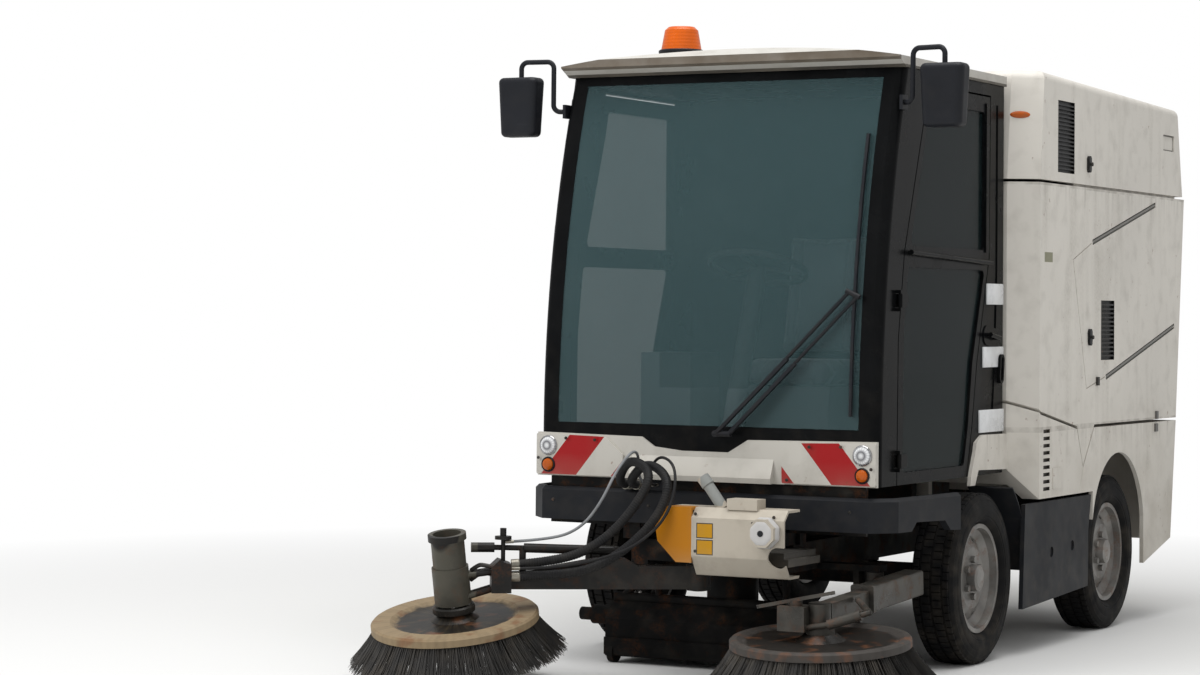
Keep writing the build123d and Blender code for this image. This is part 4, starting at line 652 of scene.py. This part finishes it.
def turned(profile, steps=48):
    """A turned shape round the Z axis: one vertex is extruded along (radius, height) in mm and spun."""
    start_fresh()
    bpy.ops.mesh.primitive_plane_add(size=0.001, location=(0, 0, 0))
    piece = bpy.context.object
    edit(piece, "VERT", "SELECT")
    bpy.ops.mesh.merge(type="CENTER")
    radius, height = profile[0]
    bpy.ops.transform.translate(value=(radius / 1000, 0, height / 1000))
    for following in profile[1:]:
        step = ((following[0] - radius) / 1000, 0, (following[1] - height) / 1000)
        bpy.ops.mesh.extrude_region_move(TRANSFORM_OT_translate={"value": step})
        radius, height = following
    bpy.ops.mesh.select_all(action="SELECT")
    bpy.ops.mesh.spin(steps=steps, angle=2 * math.pi, center=(0, 0, 0), axis=(0, 0, 1))
    bpy.ops.mesh.select_all(action="SELECT")
    bpy.ops.mesh.remove_doubles(threshold=0.00004)
    bpy.ops.mesh.normals_make_consistent(inside=False)
    return out_of_edit()


def cube(middle, size):
    """A cube primitive brought to its size at its place, in metres."""
    start_fresh()
    bpy.ops.mesh.primitive_cube_add(size=1.0, location=middle, scale=size)
    bpy.ops.object.transform_apply(location=True, rotation=True, scale=True)
    return bpy.context.object


def block(x0, x1, y0, y1, z0, z1, round_off=4.0, segments=2):
    """A rounded block by its sides, in the drawing's mm."""
    size = ((x1 - x0) / 1000, (y1 - y0) / 1000, (z1 - z0) / 1000)
    piece = cube(at((x0 + x1) / 2, (y0 + y1) / 2, (z0 + z1) / 2), size)
    edit(piece, "EDGE", "SELECT")
    bpy.ops.mesh.bevel(offset=round_off / 1000, segments=segments, affect="EDGES", clamp_overlap=True)
    return out_of_edit()


def standing_block(wide, deep, low, high, round_off=4.0):
    """A rounded block round the Z axis, in mm, for standing at its place later."""
    return block(-wide / 2, wide / 2, ORIGIN_BACK - deep / 2, ORIGIN_BACK + deep / 2, low, high, round_off)


def press_top(piece, thickness, depth):
    """Sinks the top face inside a rim, in metres."""
    edit(piece)
    pick(piece, lambda normal: normal.z > 0.9)
    bpy.ops.mesh.inset(thickness=thickness, depth=-depth)
    out_of_edit()


def facing(place, outward, turn=0.0):
    """Matrix that stands a shape drawn along Z at a place, pointing outward."""
    z = Vector(outward).normalized()
    quaternion = z.to_track_quat("Z", "Y")
    return Matrix.Translation(place) @ quaternion.to_matrix().to_4x4() @ Matrix.Rotation(turn, 4, "Z")


def placed(shape, spot, outward, turn=0.0):
    """The shape itself, stood at a drawing place and pointing outward."""
    shape.data.transform(facing(at(*spot), outward, turn))
    return shape


def pair(piece):
    """A piece and its mirror image on the other side of the vehicle."""
    return [piece, copy_of(piece, Matrix.Scale(-1, 4, (1, 0, 0)))]


# Wheels: carcass with ribbed sidewalls, four rows of tread blocks

AHEAD = (0, -1, 0)
CARCASS = (
    # radius and place across the tyre, from the inner bead round the tread to the outer bead and back
    (222, -65), (235, -67), (249, -88.5), (262, -96.5), (290, -102.3), (330, -98), (346, -92.5), (358, -80),
    (358, 80), (346, 92.5), (341, 94.4), (338, 93.4), (334, 94.6), (316, 99.6), (313, 99.0), (308, 101.2),
    (290, 102.3), (272, 100.4), (268, 97.4), (262, 97.6), (258, 94.6), (249, 88.5), (235, 67), (222, 65),
    (222, -65),
)
TREAD_MIDDLE = 360.0
TREAD_DEEP = 15.2
TREAD_LONG = 32.2
TREAD_ROWS = (
    # middle across the tyre, width, shift in steps
    (-66.5, 24.0, 0.5), (-25.0, 41.0, 0.0), (25.0, 41.0, 0.5), (66.5, 24.0, 0.0),
)
TREAD_STEPS = 66


def tread_block(across, width):
    """One block of the tread, narrowed towards the road."""
    size = (TREAD_DEEP / 1000, TREAD_LONG / 1000, width / 1000)
    piece = cube((TREAD_MIDDLE / 1000, 0, across / 1000), size)
    edit(piece)
    pick(piece, lambda normal: normal.x > 0.9)
    bpy.ops.transform.resize(value=(1.0, 0.94, 0.95))
    bpy.ops.mesh.select_all(action="SELECT")
    bpy.ops.mesh.bevel(offset=0.0012, segments=1, affect="EDGES")
    return out_of_edit()


blocks = []
for across, width, shift in TREAD_ROWS:
    pattern = tread_block(across, width)
    for step in range(TREAD_STEPS):
        blocks.append(copy_of(pattern, Matrix.Rotation((step + shift) * 2 * math.pi / TREAD_STEPS, 4, "Z")))
    drop(pattern)
tyre_pattern = joined([turned(CARCASS, 72)] + blocks)
for tag in ("front_left", "front_right", "rear_left", "rear_right"):
    hub = Vector(pins[f"spin_{tag}"]["pos_m"])
    tyre = copy_of(tyre_pattern, facing(hub, (hub.x, 0, 0)))
    made(tyre, f"treaded_tyre_{tag}", "tyre_rubber", f"wheel_{tag}", smooth=28.0)
    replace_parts(tyre, f"tyre_{tag}")
drop(tyre_pattern)

# Brushes: one strand, bundles of strands fanned by chance, bundles set round the plate

STRAND_STEPS = ((0.034, 0.048), (0.040, 0.051), (0.046, 0.051))
STRAND_TALL = 150.0
STRAND_R = 0.0019
STRAND_TAPER = 0.86
BUNDLES = 72
BUNDLE_KINDS = 4
BUNDLE_SPREAD = 2.7
STRANDS = 58
BRISTLE_BAND = 70.0
RIM_MARGIN = 7.0
BRUSHES = (
    # name, plate's radius, height of the skirt of strands, seed
    ("side_brush", 360.0, 150.0, 11), ("arm_brush", 342.0, 138.0, 12),
)


def one_strand():
    """A three-sided strand that curves outwards and narrows as it goes down."""
    start_fresh()
    bpy.ops.mesh.primitive_circle_add(vertices=3, radius=STRAND_R, fill_type="NGON", location=(0, 0, 0))
    piece = bpy.context.object
    edit(piece, "FACE", "SELECT")
    for out, down in STRAND_STEPS:
        bpy.ops.mesh.extrude_region_move(TRANSFORM_OT_translate={"value": (out, 0, -down)})
        bpy.ops.transform.resize(value=(STRAND_TAPER, STRAND_TAPER, STRAND_TAPER))
    bpy.ops.mesh.select_all(action="SELECT")
    bpy.ops.mesh.normals_make_consistent(inside=False)
    return out_of_edit()


def bristle_ring(radius, depth, seed):
    """Strands between the plate's rim and the road; depth is the skirt's height in mm."""
    chance = random.Random(seed)
    strand = one_strand()
    tall = depth / STRAND_TALL
    bundles = []
    for _ in range(BUNDLE_KINDS):
        strands = []
        for _ in range(STRANDS):
            root = (radius - RIM_MARGIN - BRISTLE_BAND * chance.random()) / 1000
            lean = Matrix.Rotation(math.radians(chance.gauss(0.0, 4.0)), 4, "Z")
            size = Matrix.Diagonal((chance.uniform(0.86, 1.0), 1.0, tall * chance.uniform(0.93, 0.995), 1.0))
            round_it = Matrix.Rotation(math.radians(chance.uniform(-BUNDLE_SPREAD, BUNDLE_SPREAD)), 4, "Z")
            place = Matrix.Translation((root, 0, -0.035))
            strands.append(copy_of(strand, round_it @ place @ lean @ size))
        bundles.append(joined(strands))
    ring = []
    for i in range(BUNDLES):
        ring.append(copy_of(bundles[i % BUNDLE_KINDS], Matrix.Rotation(i * 2 * math.pi / BUNDLES, 4, "Z")))
    drop(strand, *bundles)
    return joined(ring)


def spin_axis(name):
    """Matrix of a brush's own axis, which is tilted towards the front."""
    pin = pins[f"{name}_spin"]
    tilt = math.atan2(-pin["axis"][1], pin["axis"][2])
    return Matrix.Translation(pin["pos_m"]) @ Matrix.Rotation(tilt, 4, "X")


for name, radius, depth, seed in BRUSHES:
    ring = bristle_ring(radius, depth, seed)
    ring.data.transform(spin_axis(name))
    made(ring, f"{name}_strands", "bristle_black", name, smooth=0)
    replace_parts(ring, f"{name}_bristles")

# Collar with a ring of bolts between the front brush and its motor
BOLTS = 6
BOLT_OUT = 0.072
BOLT_FOOT = 0.0455
collar = turned(((47, 16), (84, 16), (87, 19), (87, 40), (82, 46), (47, 46), (47, 16)), 40)
bolt = turned(((0, 0), (9, 0), (9, 6), (7, 8), (0, 8)), 6)
bolt.data.transform(Matrix.Translation((BOLT_OUT, 0, BOLT_FOOT)))
bolts = [copy_of(bolt, Matrix.Rotation(i * 2 * math.pi / BOLTS, 4, "Z")) for i in range(BOLTS)]
collar = joined([collar] + bolts)
collar.data.transform(spin_axis("arm_brush"))
made(collar, "arm_brush_collar", "oily_steel", "arm_brush")
drop(bolt)

# Hoses from the block over the bumper to the boom

boom_root = pin_of("boom_swing")
boom_dir = (pin_of("arm_brush_spin") - boom_root) * Vector((1, 1, 0))
boom_dir.normalize()
boom_side = Vector((-boom_dir.y, boom_dir.x, 0))


def on_boom(s, t, z):
    """Drawing place by distance along the boom, to its left and above the ground."""
    spot = boom_root + boom_dir * s + boom_side * t
    return (spot.x, spot.y, z)


HOSE_START = -950.3
BLOCK_HIGH = 777
HOSES = (
    # name, radius, finish, route
    ("pressure_hose", 18.0, "hose_black", (
        (-335, HOSE_START, BLOCK_HIGH), (-335, -1080, BLOCK_HIGH), (-215, -1190, 905), (-45, -1290, 850),
        (-95, -1370, 700), (-205, -1440, 565), (-345, -1530, 490), on_boom(769, 55, 478))),
    ("return_hose", 18.0, "hose_black", (
        (-285, HOSE_START, BLOCK_HIGH), (-285, -1085, BLOCK_HIGH), (-138, -1182, 893), (27, -1280, 828),
        (18, -1345, 690), (-85, -1400, 560), (-215, -1478, 462), (-365, -1572, 435), on_boom(769, 72, 432))),
    ("water_line", 6.0, "line_grey", (
        (-240, HOSE_START, BLOCK_HIGH), (-240, -1055, BLOCK_HIGH), (-180, -1170, 955), (-190, -1330, 870),
        (-235, -1395, 720), (-300, -1445, 620), (-400, -1508, 575), on_boom(790.5, 10, 566))),
    ("steadying_line", 6.0, "hose_black", (
        (-205, HOSE_START, BLOCK_HIGH), (-205, -1060, BLOCK_HIGH), (-90, -1180, 925), (70, -1300, 880),
        (75, -1375, 690), (-40, -1440, 560), (-190, -1505, 500), (-370, -1606, 466), on_boom(769, 82, 464))),
)
RIBBED_FROM = 10.0
RIB_PITCH = 0.0105
FIRST_RIB = 0.02


def routed(name, route, radius):
    """Curve along a route given in the drawing's mm."""
    line = bpy.data.curves.new(name, "CURVE")
    line.dimensions = "3D"
    spline = line.splines.new("NURBS")
    spline.points.add(len(route) - 1)
    for point, spot in zip(spline.points, route):
        point.co = (*at(*spot), 1.0)
    spline.order_u = 3
    spline.use_endpoint_u = True
    line.resolution_u = 14
    line.bevel_depth = radius / 1000
    line.bevel_resolution = 4
    line.use_fill_caps = True
    hose = bpy.data.objects.new(name, line)
    bpy.context.collection.objects.link(hose)
    return hose


def as_mesh(hose):
    """A routed curve as a closed mesh."""
    take(hose)
    bpy.ops.object.convert(target="MESH")
    edit(bpy.context.object, "VERT", "SELECT")
    bpy.ops.mesh.remove_doubles(threshold=0.00002)
    bpy.ops.mesh.normals_make_consistent(inside=False)
    return out_of_edit()


def ribbed(piece, name, route, radius):
    """Wraps a hose with closely set ribs that follow its own curve."""
    bare = routed(name + "_line", route, radius)
    bare.data.bevel_depth = 0.0
    line = bpy.data.meshes.new_from_object(bare)
    spots = [v.co.copy() for v in line.vertices]
    foot, crown = radius * 0.96, radius * 1.07
    rib = turned(((foot, -3.2), (crown, -1.6), (crown, 1.6), (foot, 3.2), (foot, -3.2)), 14)
    ribs, gone, due = [], 0.0, FIRST_RIB
    for here, there in zip(spots, spots[1:]):
        run = (there - here).length
        while due <= gone + run and run:
            ribs.append(copy_of(rib, facing(here.lerp(there, (due - gone) / run), there - here)))
            due += RIB_PITCH
        gone += run
    drop(rib, bare)
    return joined([piece] + ribs)


def ferrule(profile, radius, steps, place, outward):
    """A turned fitting on the end of a hose; its profile is in the hose's radii across and mm along."""
    return placed(turned([(radius * across, along) for across, along in profile], steps), place, outward)


# crimped ferrule on the block, six-sided on the thin lines, and a plain one on the boom
BLOCK_FERRULE = (
    (0, -4), (1.25, -4), (1.25, 12), (1.12, 14), (1.12, 34), (1.18, 35), (1.18, 44), (0.9, 48), (0, 48),
)
BOOM_FERRULE = ((0, 0), (1.2, 0), (1.2, 30), (1.05, 34), (0, 34))
for name, radius, finish, route in HOSES:
    hose = as_mesh(routed(name, route, radius))
    stout = radius > RIBBED_FROM
    if stout:
        hose = ribbed(hose, name, route, radius)
    dressed(hose, name, finish, 40)
    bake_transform(hose)
    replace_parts(hose, "boom_hoses")
    fitting = ferrule(BLOCK_FERRULE, radius, 20 if stout else 6, route[0], AHEAD)
    made(fitting, f"{name}_ferrule", "fitting_zinc", "chassis")
    fitting = ferrule(BOOM_FERRULE, radius, 20, route[-1], Vector(route[-2]) - Vector(route[-1]))
    made(fitting, f"{name}_end_ferrule", "fitting_zinc", "boom")

# Seat: cushion and backrest swollen by a cloth simulation

VOXEL = 0.006
PAD_PRESSURE = 4.0
SWELLING_FRAMES = 20
CHANNEL_HALF = 0.012
CHANNEL_DEEP = 0.006


def stuffed(piece, cap):
    """Lets a closed form swell as a pad, no point by more than cap in metres."""
    take(piece)
    remesh = piece.modifiers.new("voxels", "REMESH")
    remesh.mode = "VOXEL"
    remesh.voxel_size = VOXEL
    bpy.ops.object.modifier_apply(modifier="voxels")
    before = [v.co.copy() for v in piece.data.vertices]
    cloth = piece.modifiers.new("swelling", "CLOTH")
    cloth.settings.use_pressure = True
    cloth.settings.uniform_pressure_force = PAD_PRESSURE
    cloth.settings.quality = 4
    cloth.settings.effector_weights.gravity = 0.0
    for frame_number in range(1, SWELLING_FRAMES + 1):
        bpy.context.scene.frame_set(frame_number)
    swollen = piece.evaluated_get(bpy.context.evaluated_depsgraph_get())
    after = [v.co.copy() for v in swollen.data.vertices]
    piece.modifiers.remove(cloth)
    bpy.context.scene.frame_set(1)
    for vertex, old, new in zip(piece.data.vertices, before, after):
        move = new - old
        vertex.co = old + move * min(1.0, cap / max(move.length, 1e-9))
    smooth = piece.modifiers.new("rounding", "SMOOTH")
    smooth.iterations = 4
    bpy.ops.object.modifier_apply(modifier="rounding")
    return piece


def seat_pad(name, sides, channels, foot=None, lean=0.0):
    """A pad drawn flat, its channels pressed in; the backrest is then leaned back about its foot."""
    piece = stuffed(block(*sides, round_off=26.0, segments=3), 0.016)
    edit(piece, "FACE", "SELECT")
    bpy.ops.mesh.subdivide(number_cuts=1, smoothness=0.2)
    out_of_edit()
    inwards = Vector((0, 1, 0)) if lean else Vector((0, 0, -1))
    for vertex in piece.data.vertices:
        for x in channels:
            near = abs(vertex.co.x - x / 1000)
            if near < CHANNEL_HALF:
                vertex.co += inwards * CHANNEL_DEEP * (1 - near / CHANNEL_HALF)
    if lean:
        turn = Matrix.Rotation(-math.radians(lean), 4, "X")
        piece.data.transform(Matrix.Translation(at(*foot)) @ turn @ Matrix.Translation(-at(*foot)))
    made(piece, name, "seat_cloth", "chassis", smooth=60.0)
    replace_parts(piece, "seat")


seat_pad("seat_cushion", (-212, 212, -132, 300, 1200, 1284), (-120.0, 120.0))
seat_pad("seat_backrest", (-200, 200, 225, 292, 1318, 1868), (-115.0, 115.0), (0, 258, 1312), 10.4)

# Lamps

LAMP_SPOTS = (
    # height, lens radius, depth, finishes of lens and bezel, name
    (HEADLAMP_HIGH, 36.0, 17.0, "headlamp_glass", "chrome", "headlamp"),
    (847.0, 26.0, 16.0, "amber", "mirror_black", "indicator"),
)
LAMP_PANEL_Y = -955.2
for high, radius, depth, finish, bezel_finish, name in LAMP_SPOTS:
    lens_shape = turned(((0, depth), (radius * 0.35, depth - 0.6), (radius * 0.7, depth - 3),
                         (radius * 0.92, depth - 7), (radius, depth - 12), (radius, 0), (0, 0)), 40)
    inner = radius + 0.6
    bezel = turned(((inner, 0), (radius + 7, 0), (radius + 6.4, 4), (radius + 3.4, 7), (inner, 5),
                    (inner, 0)), 40)
    spot = (LAMP_OUT, LAMP_PANEL_Y, high)
    lenses, bezels = (pair(placed(shape, spot, AHEAD)) for shape in (lens_shape, bezel))
    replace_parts(made(joined(lenses), f"{name}_lenses", finish, "chassis"), "front_lamps")
    made(joined(bezels), f"{name}_bezels", bezel_finish, "chassis")

# Mirrors, beacon ring, marks and small fittings

panes = pair(block(928, 1072, -712, -697, 2292, 2512, 6.0))
made(joined(panes), "mirror_panes", "mirror_silver", "chassis")

ring = turned(((88, 0), (101, 0), (101, 9), (96, 13), (93.5, 13), (93.5, 3), (88, 3), (88, 0)), 48)
ring.data.transform(Matrix.Translation(at(*BEACON_PLACE, 2652)))
made(ring, "beacon_ring", "mirror_black", "chassis")

KNOB_PLACE = (465, 627)
cap = turned(((0, 4), (11, 4), (12.5, 2.5), (12.5, 0), (0, 0)), 24)
placed(cap, (KNOB_PLACE[0], -1351.8, KNOB_PLACE[1]), AHEAD)
made(cap, "knob_cap", "mirror_black", "chassis")

PILLAR_FACE = (789.6, 798.2)
REFLECTORS = (
    # middle (y, z), width, height
    (368, 1597, 200, 93), (348, 1318, 248, 91), (330, 1036, 296, 100),
)
for i, (y, z, wide, high) in enumerate(REFLECTORS):
    square = block(*PILLAR_FACE, y - wide / 2, y + wide / 2, z - high / 2, z + high / 2, 3.0)
    made(joined(pair(square)), f"pillar_reflector_{i + 1}", "reflector_white", "chassis")

# amber marker on each slanted front corner of the lid
CORNER_OUT = (0.4985, -0.8640, -0.06)
marker = turned(((0, 8), (24, 7), (40, 4), (46, 0), (0, 0)), 32)
marker.data.transform(Matrix.Diagonal((1.0, 0.36, 1.0, 1.0)))
made(joined(pair(placed(marker, (840, 552, 2408), CORNER_OUT))), "lid_markers", "amber", "lid")

# latch knobs on the black grips of hopper and lid
GRIP_FACE = 943.5
LATCH_KNOBS = (
    # name, middle (y, z), body
    ("hopper_latch_knobs", 1241, 1404, "hopper_body"), ("lid_latch_knobs", 1220, 2215, "lid"),
)
for name, y, z, body in LATCH_KNOBS:
    knob = turned(((0, 13), (7, 13), (9.5, 11), (9.5, 6), (6, 4), (6, -4), (0, -4)), 20)
    made(joined(pair(placed(knob, (GRIP_FACE, y, z), (1, 0, 0)))), name, "oily_steel", body)

# screws in the bracket cover, the bumper and the lamp panels
SCREW_GROUPS = (
    # name, face, (x, z) of each screw, whether the other side has them too
    ("cover_screws", -1300.2, ((406, 662), (150, 540), (150, 690), (500, 690)), False),
    ("bumper_bolts", -985.2, ((230, 690), (690, 700)), True),
    ("lamp_panel_screws", -968.2, ((400, 820), (640, 962), (500, 958), (775, 875)), True),
)
screw = turned(((0, 2.6), (3.4, 2.6), (6.4, 1.2), (7.0, -2), (0, -2)), 16)
for name, face, spots, both in SCREW_GROUPS:
    screws = joined([copy_of(screw, facing(at(x, face, z), AHEAD)) for x, z in spots])
    made(joined(pair(screws)) if both else screws, name, "oily_steel", "chassis")
drop(screw)

# shell over the cover's knob
shell = turned(((0, 56), (40, 56), (52, 52), (60, 44), (67, 20), (68, 3), (0, 3)), 8)
edit(shell, "EDGE", "SELECT")
bpy.ops.mesh.bevel(offset=0.006, segments=2, affect="EDGES", clamp_overlap=True)
out_of_edit()
placed(shell, (KNOB_PLACE[0], -1296, KNOB_PLACE[1]), AHEAD, math.radians(22.5))
made(shell, "knob_shell", "knob_white", "chassis", smooth=40)

# pipes from the hose clamp to the front brush motor
MOTOR_PIPES = (
    # name, place beside the boom's middle, heights at the clamp and at the motor
    ("motor_feed_pipe", 52, 468, 452), ("motor_return_pipe", 20, 436, 410),
)
for name, t, clamp_high, motor_high in MOTOR_PIPES:
    route = (on_boom(846, t, clamp_high), on_boom(880, t, clamp_high + 8),
             on_boom(902, t - 8, motor_high + 24), on_boom(930, t - 26, motor_high))
    made(as_mesh(routed(name, route, 9.0)), name, "oily_steel", "boom", smooth=40)

# fairings of the wiper's arms: two tapered bars over the arms' lower half
FAIRINGS = (
    # name, lower end, upper end
    ("wiper_arm_fairing_low", (86, -983, 1006), (395, -951, 1318)),
    ("wiper_arm_fairing_high", (148, -983, 1008), (430, -950, 1300)),
)
for name, start, end in FAIRINGS:
    run = Vector(end) - Vector(start)
    bar = standing_block(24, 16, -1, run.length)
    edit(bar)
    pick(bar, lambda normal: normal.z > 0.7)
    bpy.ops.transform.resize(value=(0.55, 0.6, 1.0))
    out_of_edit()
    made(placed(bar, start, run), name, "mirror_black", "chassis")

# Rear lamps in their housings, and a bare plate

REAR_FOOT = (2505, 386)
REAR_RISE = 591
REAR_LEAN = 85
REAR_OUT = Vector((0, REAR_RISE, -REAR_LEAN)).normalized()
TAIL_LAMP_OUT = 835
TAIL_LAMP_HIGH = 825
PLATE_HIGH = 760
TAIL_LENSES = (
    # height, finish
    (905, "amber"), (825, "tail_red"), (745, "lamp_glass"),
)


def rear_face(z):
    """Where the lower rear panel's back face is at a height."""
    return REAR_FOOT[0] + (z - REAR_FOOT[1]) / REAR_RISE * REAR_LEAN


housing = standing_block(104, 270, -2, 20, 8.0)
press_top(housing, 0.008, 0.003)
placed(housing, (TAIL_LAMP_OUT, rear_face(TAIL_LAMP_HIGH), TAIL_LAMP_HIGH), REAR_OUT)
made(joined(pair(housing)), "rear_lamp_housings", "mirror_black", "chassis")
for i, (z, finish) in enumerate(TAIL_LENSES):
    lens_shape = turned(((0, 15), (14, 14), (26, 10), (33, 4), (34, 0), (0, 0)), 32)
    placed(lens_shape, (TAIL_LAMP_OUT, rear_face(z) + 17.5, z - 2.5), REAR_OUT)
    made(joined(pair(lens_shape)), f"rear_lenses_{i + 1}", finish, "chassis")
rear_plate = standing_block(520, 112, -1, 5, 3.0)
press_top(rear_plate, 0.007, 0.0012)
placed(rear_plate, (0, rear_face(PLATE_HIGH), PLATE_HIGH), REAR_OUT)
made(rear_plate, "bare_rear_plate", "reflector_white", "chassis")

# tailgate: two pull handles on feet
HANDLE_BACK = 2638.5
HANDLE_SPAN = (1112, 1128)
handle = [block(530, 670, HANDLE_BACK, HANDLE_BACK + 12, *HANDLE_SPAN)]
for foot in (542, 658):
    handle.append(block(foot - 8, foot + 8, HANDLE_BACK - 26, HANDLE_BACK + 6, *HANDLE_SPAN, 3.0))
made(joined(pair(joined(handle))), "tailgate_handles", "mirror_black", "tailgate")


# Floor, light and camera

FLOOR_GREY = (0.72, 0.72, 0.71)
FADE = (2.6, 7.0)
FADE_MIDDLE_Y = 0.5
AIR_LIGHT = 0.62


def seen_directly(nodes, links):
    """1 where the camera sees a thing itself or through glass, for the nodes of one tree."""
    ray = nodes.new("ShaderNodeLightPath")
    either = nodes.new("ShaderNodeMath")
    either.operation = "MAXIMUM"
    links.new(ray.outputs["Is Camera Ray"], either.inputs[0])
    links.new(ray.outputs["Is Transmission Ray"], either.inputs[1])
    return either.outputs[0]


def studio_floor_paint():
    """Pale floor that keeps the shadow near the vehicle and fades to white for the camera further off."""
    f = Finish("studio_floor_paint")
    f.done(FLOOR_GREY, 0.9, Specular_IOR_Level=0.1)
    links = f.material.node_tree.links
    far = f.level(f.span(f.x, f.minus(f.y, FADE_MIDDLE_Y)), *FADE)
    white = f.nodes.new("ShaderNodeEmission")
    white.inputs["Color"].default_value = (1.0, 1.0, 1.0, 1.0)
    blend_in = f.nodes.new("ShaderNodeMixShader")
    links.new(f.times(far, seen_directly(f.nodes, links)), blend_in.inputs[0])
    links.new(f.shader.outputs[0], blend_in.inputs[1])
    links.new(white.outputs[0], blend_in.inputs[2])
    links.new(blend_in.outputs[0], f.nodes["Material Output"].inputs["Surface"])
    f.material.cycles.emission_sampling = "NONE"
    return f.material


bpy.ops.object.select_all(action="DESELECT")
bpy.ops.mesh.primitive_plane_add(size=90.0, location=(0.0, 0.0, 0.0))
floor = bpy.context.object
floor.name = "studio_floor"
floor.data.materials.append(studio_floor_paint())

world = bpy.data.worlds.new("studio_air")
bpy.context.scene.world = world
world.use_nodes = True
air = world.node_tree
background = air.nodes["Background"]
strength = air.nodes.new("ShaderNodeMapRange")
air.links.new(seen_directly(air.nodes, air.links), strength.inputs["Value"])
strength.inputs["To Min"].default_value = AIR_LIGHT
strength.inputs["To Max"].default_value = 1.0
air.links.new(strength.outputs[0], background.inputs["Strength"])
background.inputs["Color"].default_value = (1.0, 1.0, 1.0, 1.0)


def soft_light(name, place, aim, size, power, mirrored_in_glass=True):
    """A square softbox that shines from its place towards its aim."""
    data = bpy.data.lights.new(name, "AREA")
    data.shape = "SQUARE"
    data.size = size
    data.energy = power
    lamp = bpy.data.objects.new(name, data)
    lamp.location = place
    lamp.rotation_euler = (Vector(aim) - Vector(place)).to_track_quat("-Z", "Y").to_euler()
    lamp.visible_glossy = mirrored_in_glass
    bpy.context.collection.objects.link(lamp)


soft_light("overhead_softbox", (1.0, -1.5, 9.0), (0.0, 0.0, 1.0), 7.0, 600.0)
soft_light("front_softbox", (-5.0, -9.0, 6.0), (0.0, -1.0, 1.2), 5.0, 460.0, mirrored_in_glass=False)

# The photo's camera: its size and focal length in pixels, its horizon's row, its place and its turn
PHOTO_WIDE = 1200
PHOTO_HIGH = 675
FOCAL_LENGTH = 2884.4
LEVEL_ROW = 232.17
SENSOR_WIDE = 36
CAMERA_PLACE = (5.4033, -12.0127, 1.5073)
YAW, PITCH, ROLL = (math.radians(a) for a in (28.6326, 1.5615, 0.5174))
camera_data = bpy.data.cameras.new("photo_camera")
camera_data.lens = FOCAL_LENGTH / PHOTO_WIDE * SENSOR_WIDE
camera_data.shift_y = (LEVEL_ROW - PHOTO_HIGH / 2) / PHOTO_WIDE
camera = bpy.data.objects.new("photo_camera", camera_data)
stand = Matrix.Translation(CAMERA_PLACE)
for angle, axis in ((YAW, "Z"), (math.pi / 2 + PITCH, "X"), (ROLL, "Z")):
    stand @= Matrix.Rotation(angle, 4, axis)
camera.matrix_world = stand
bpy.context.collection.objects.link(camera)
bpy.context.scene.camera = camera
bpy.context.scene.view_settings.view_transform = "Standard"
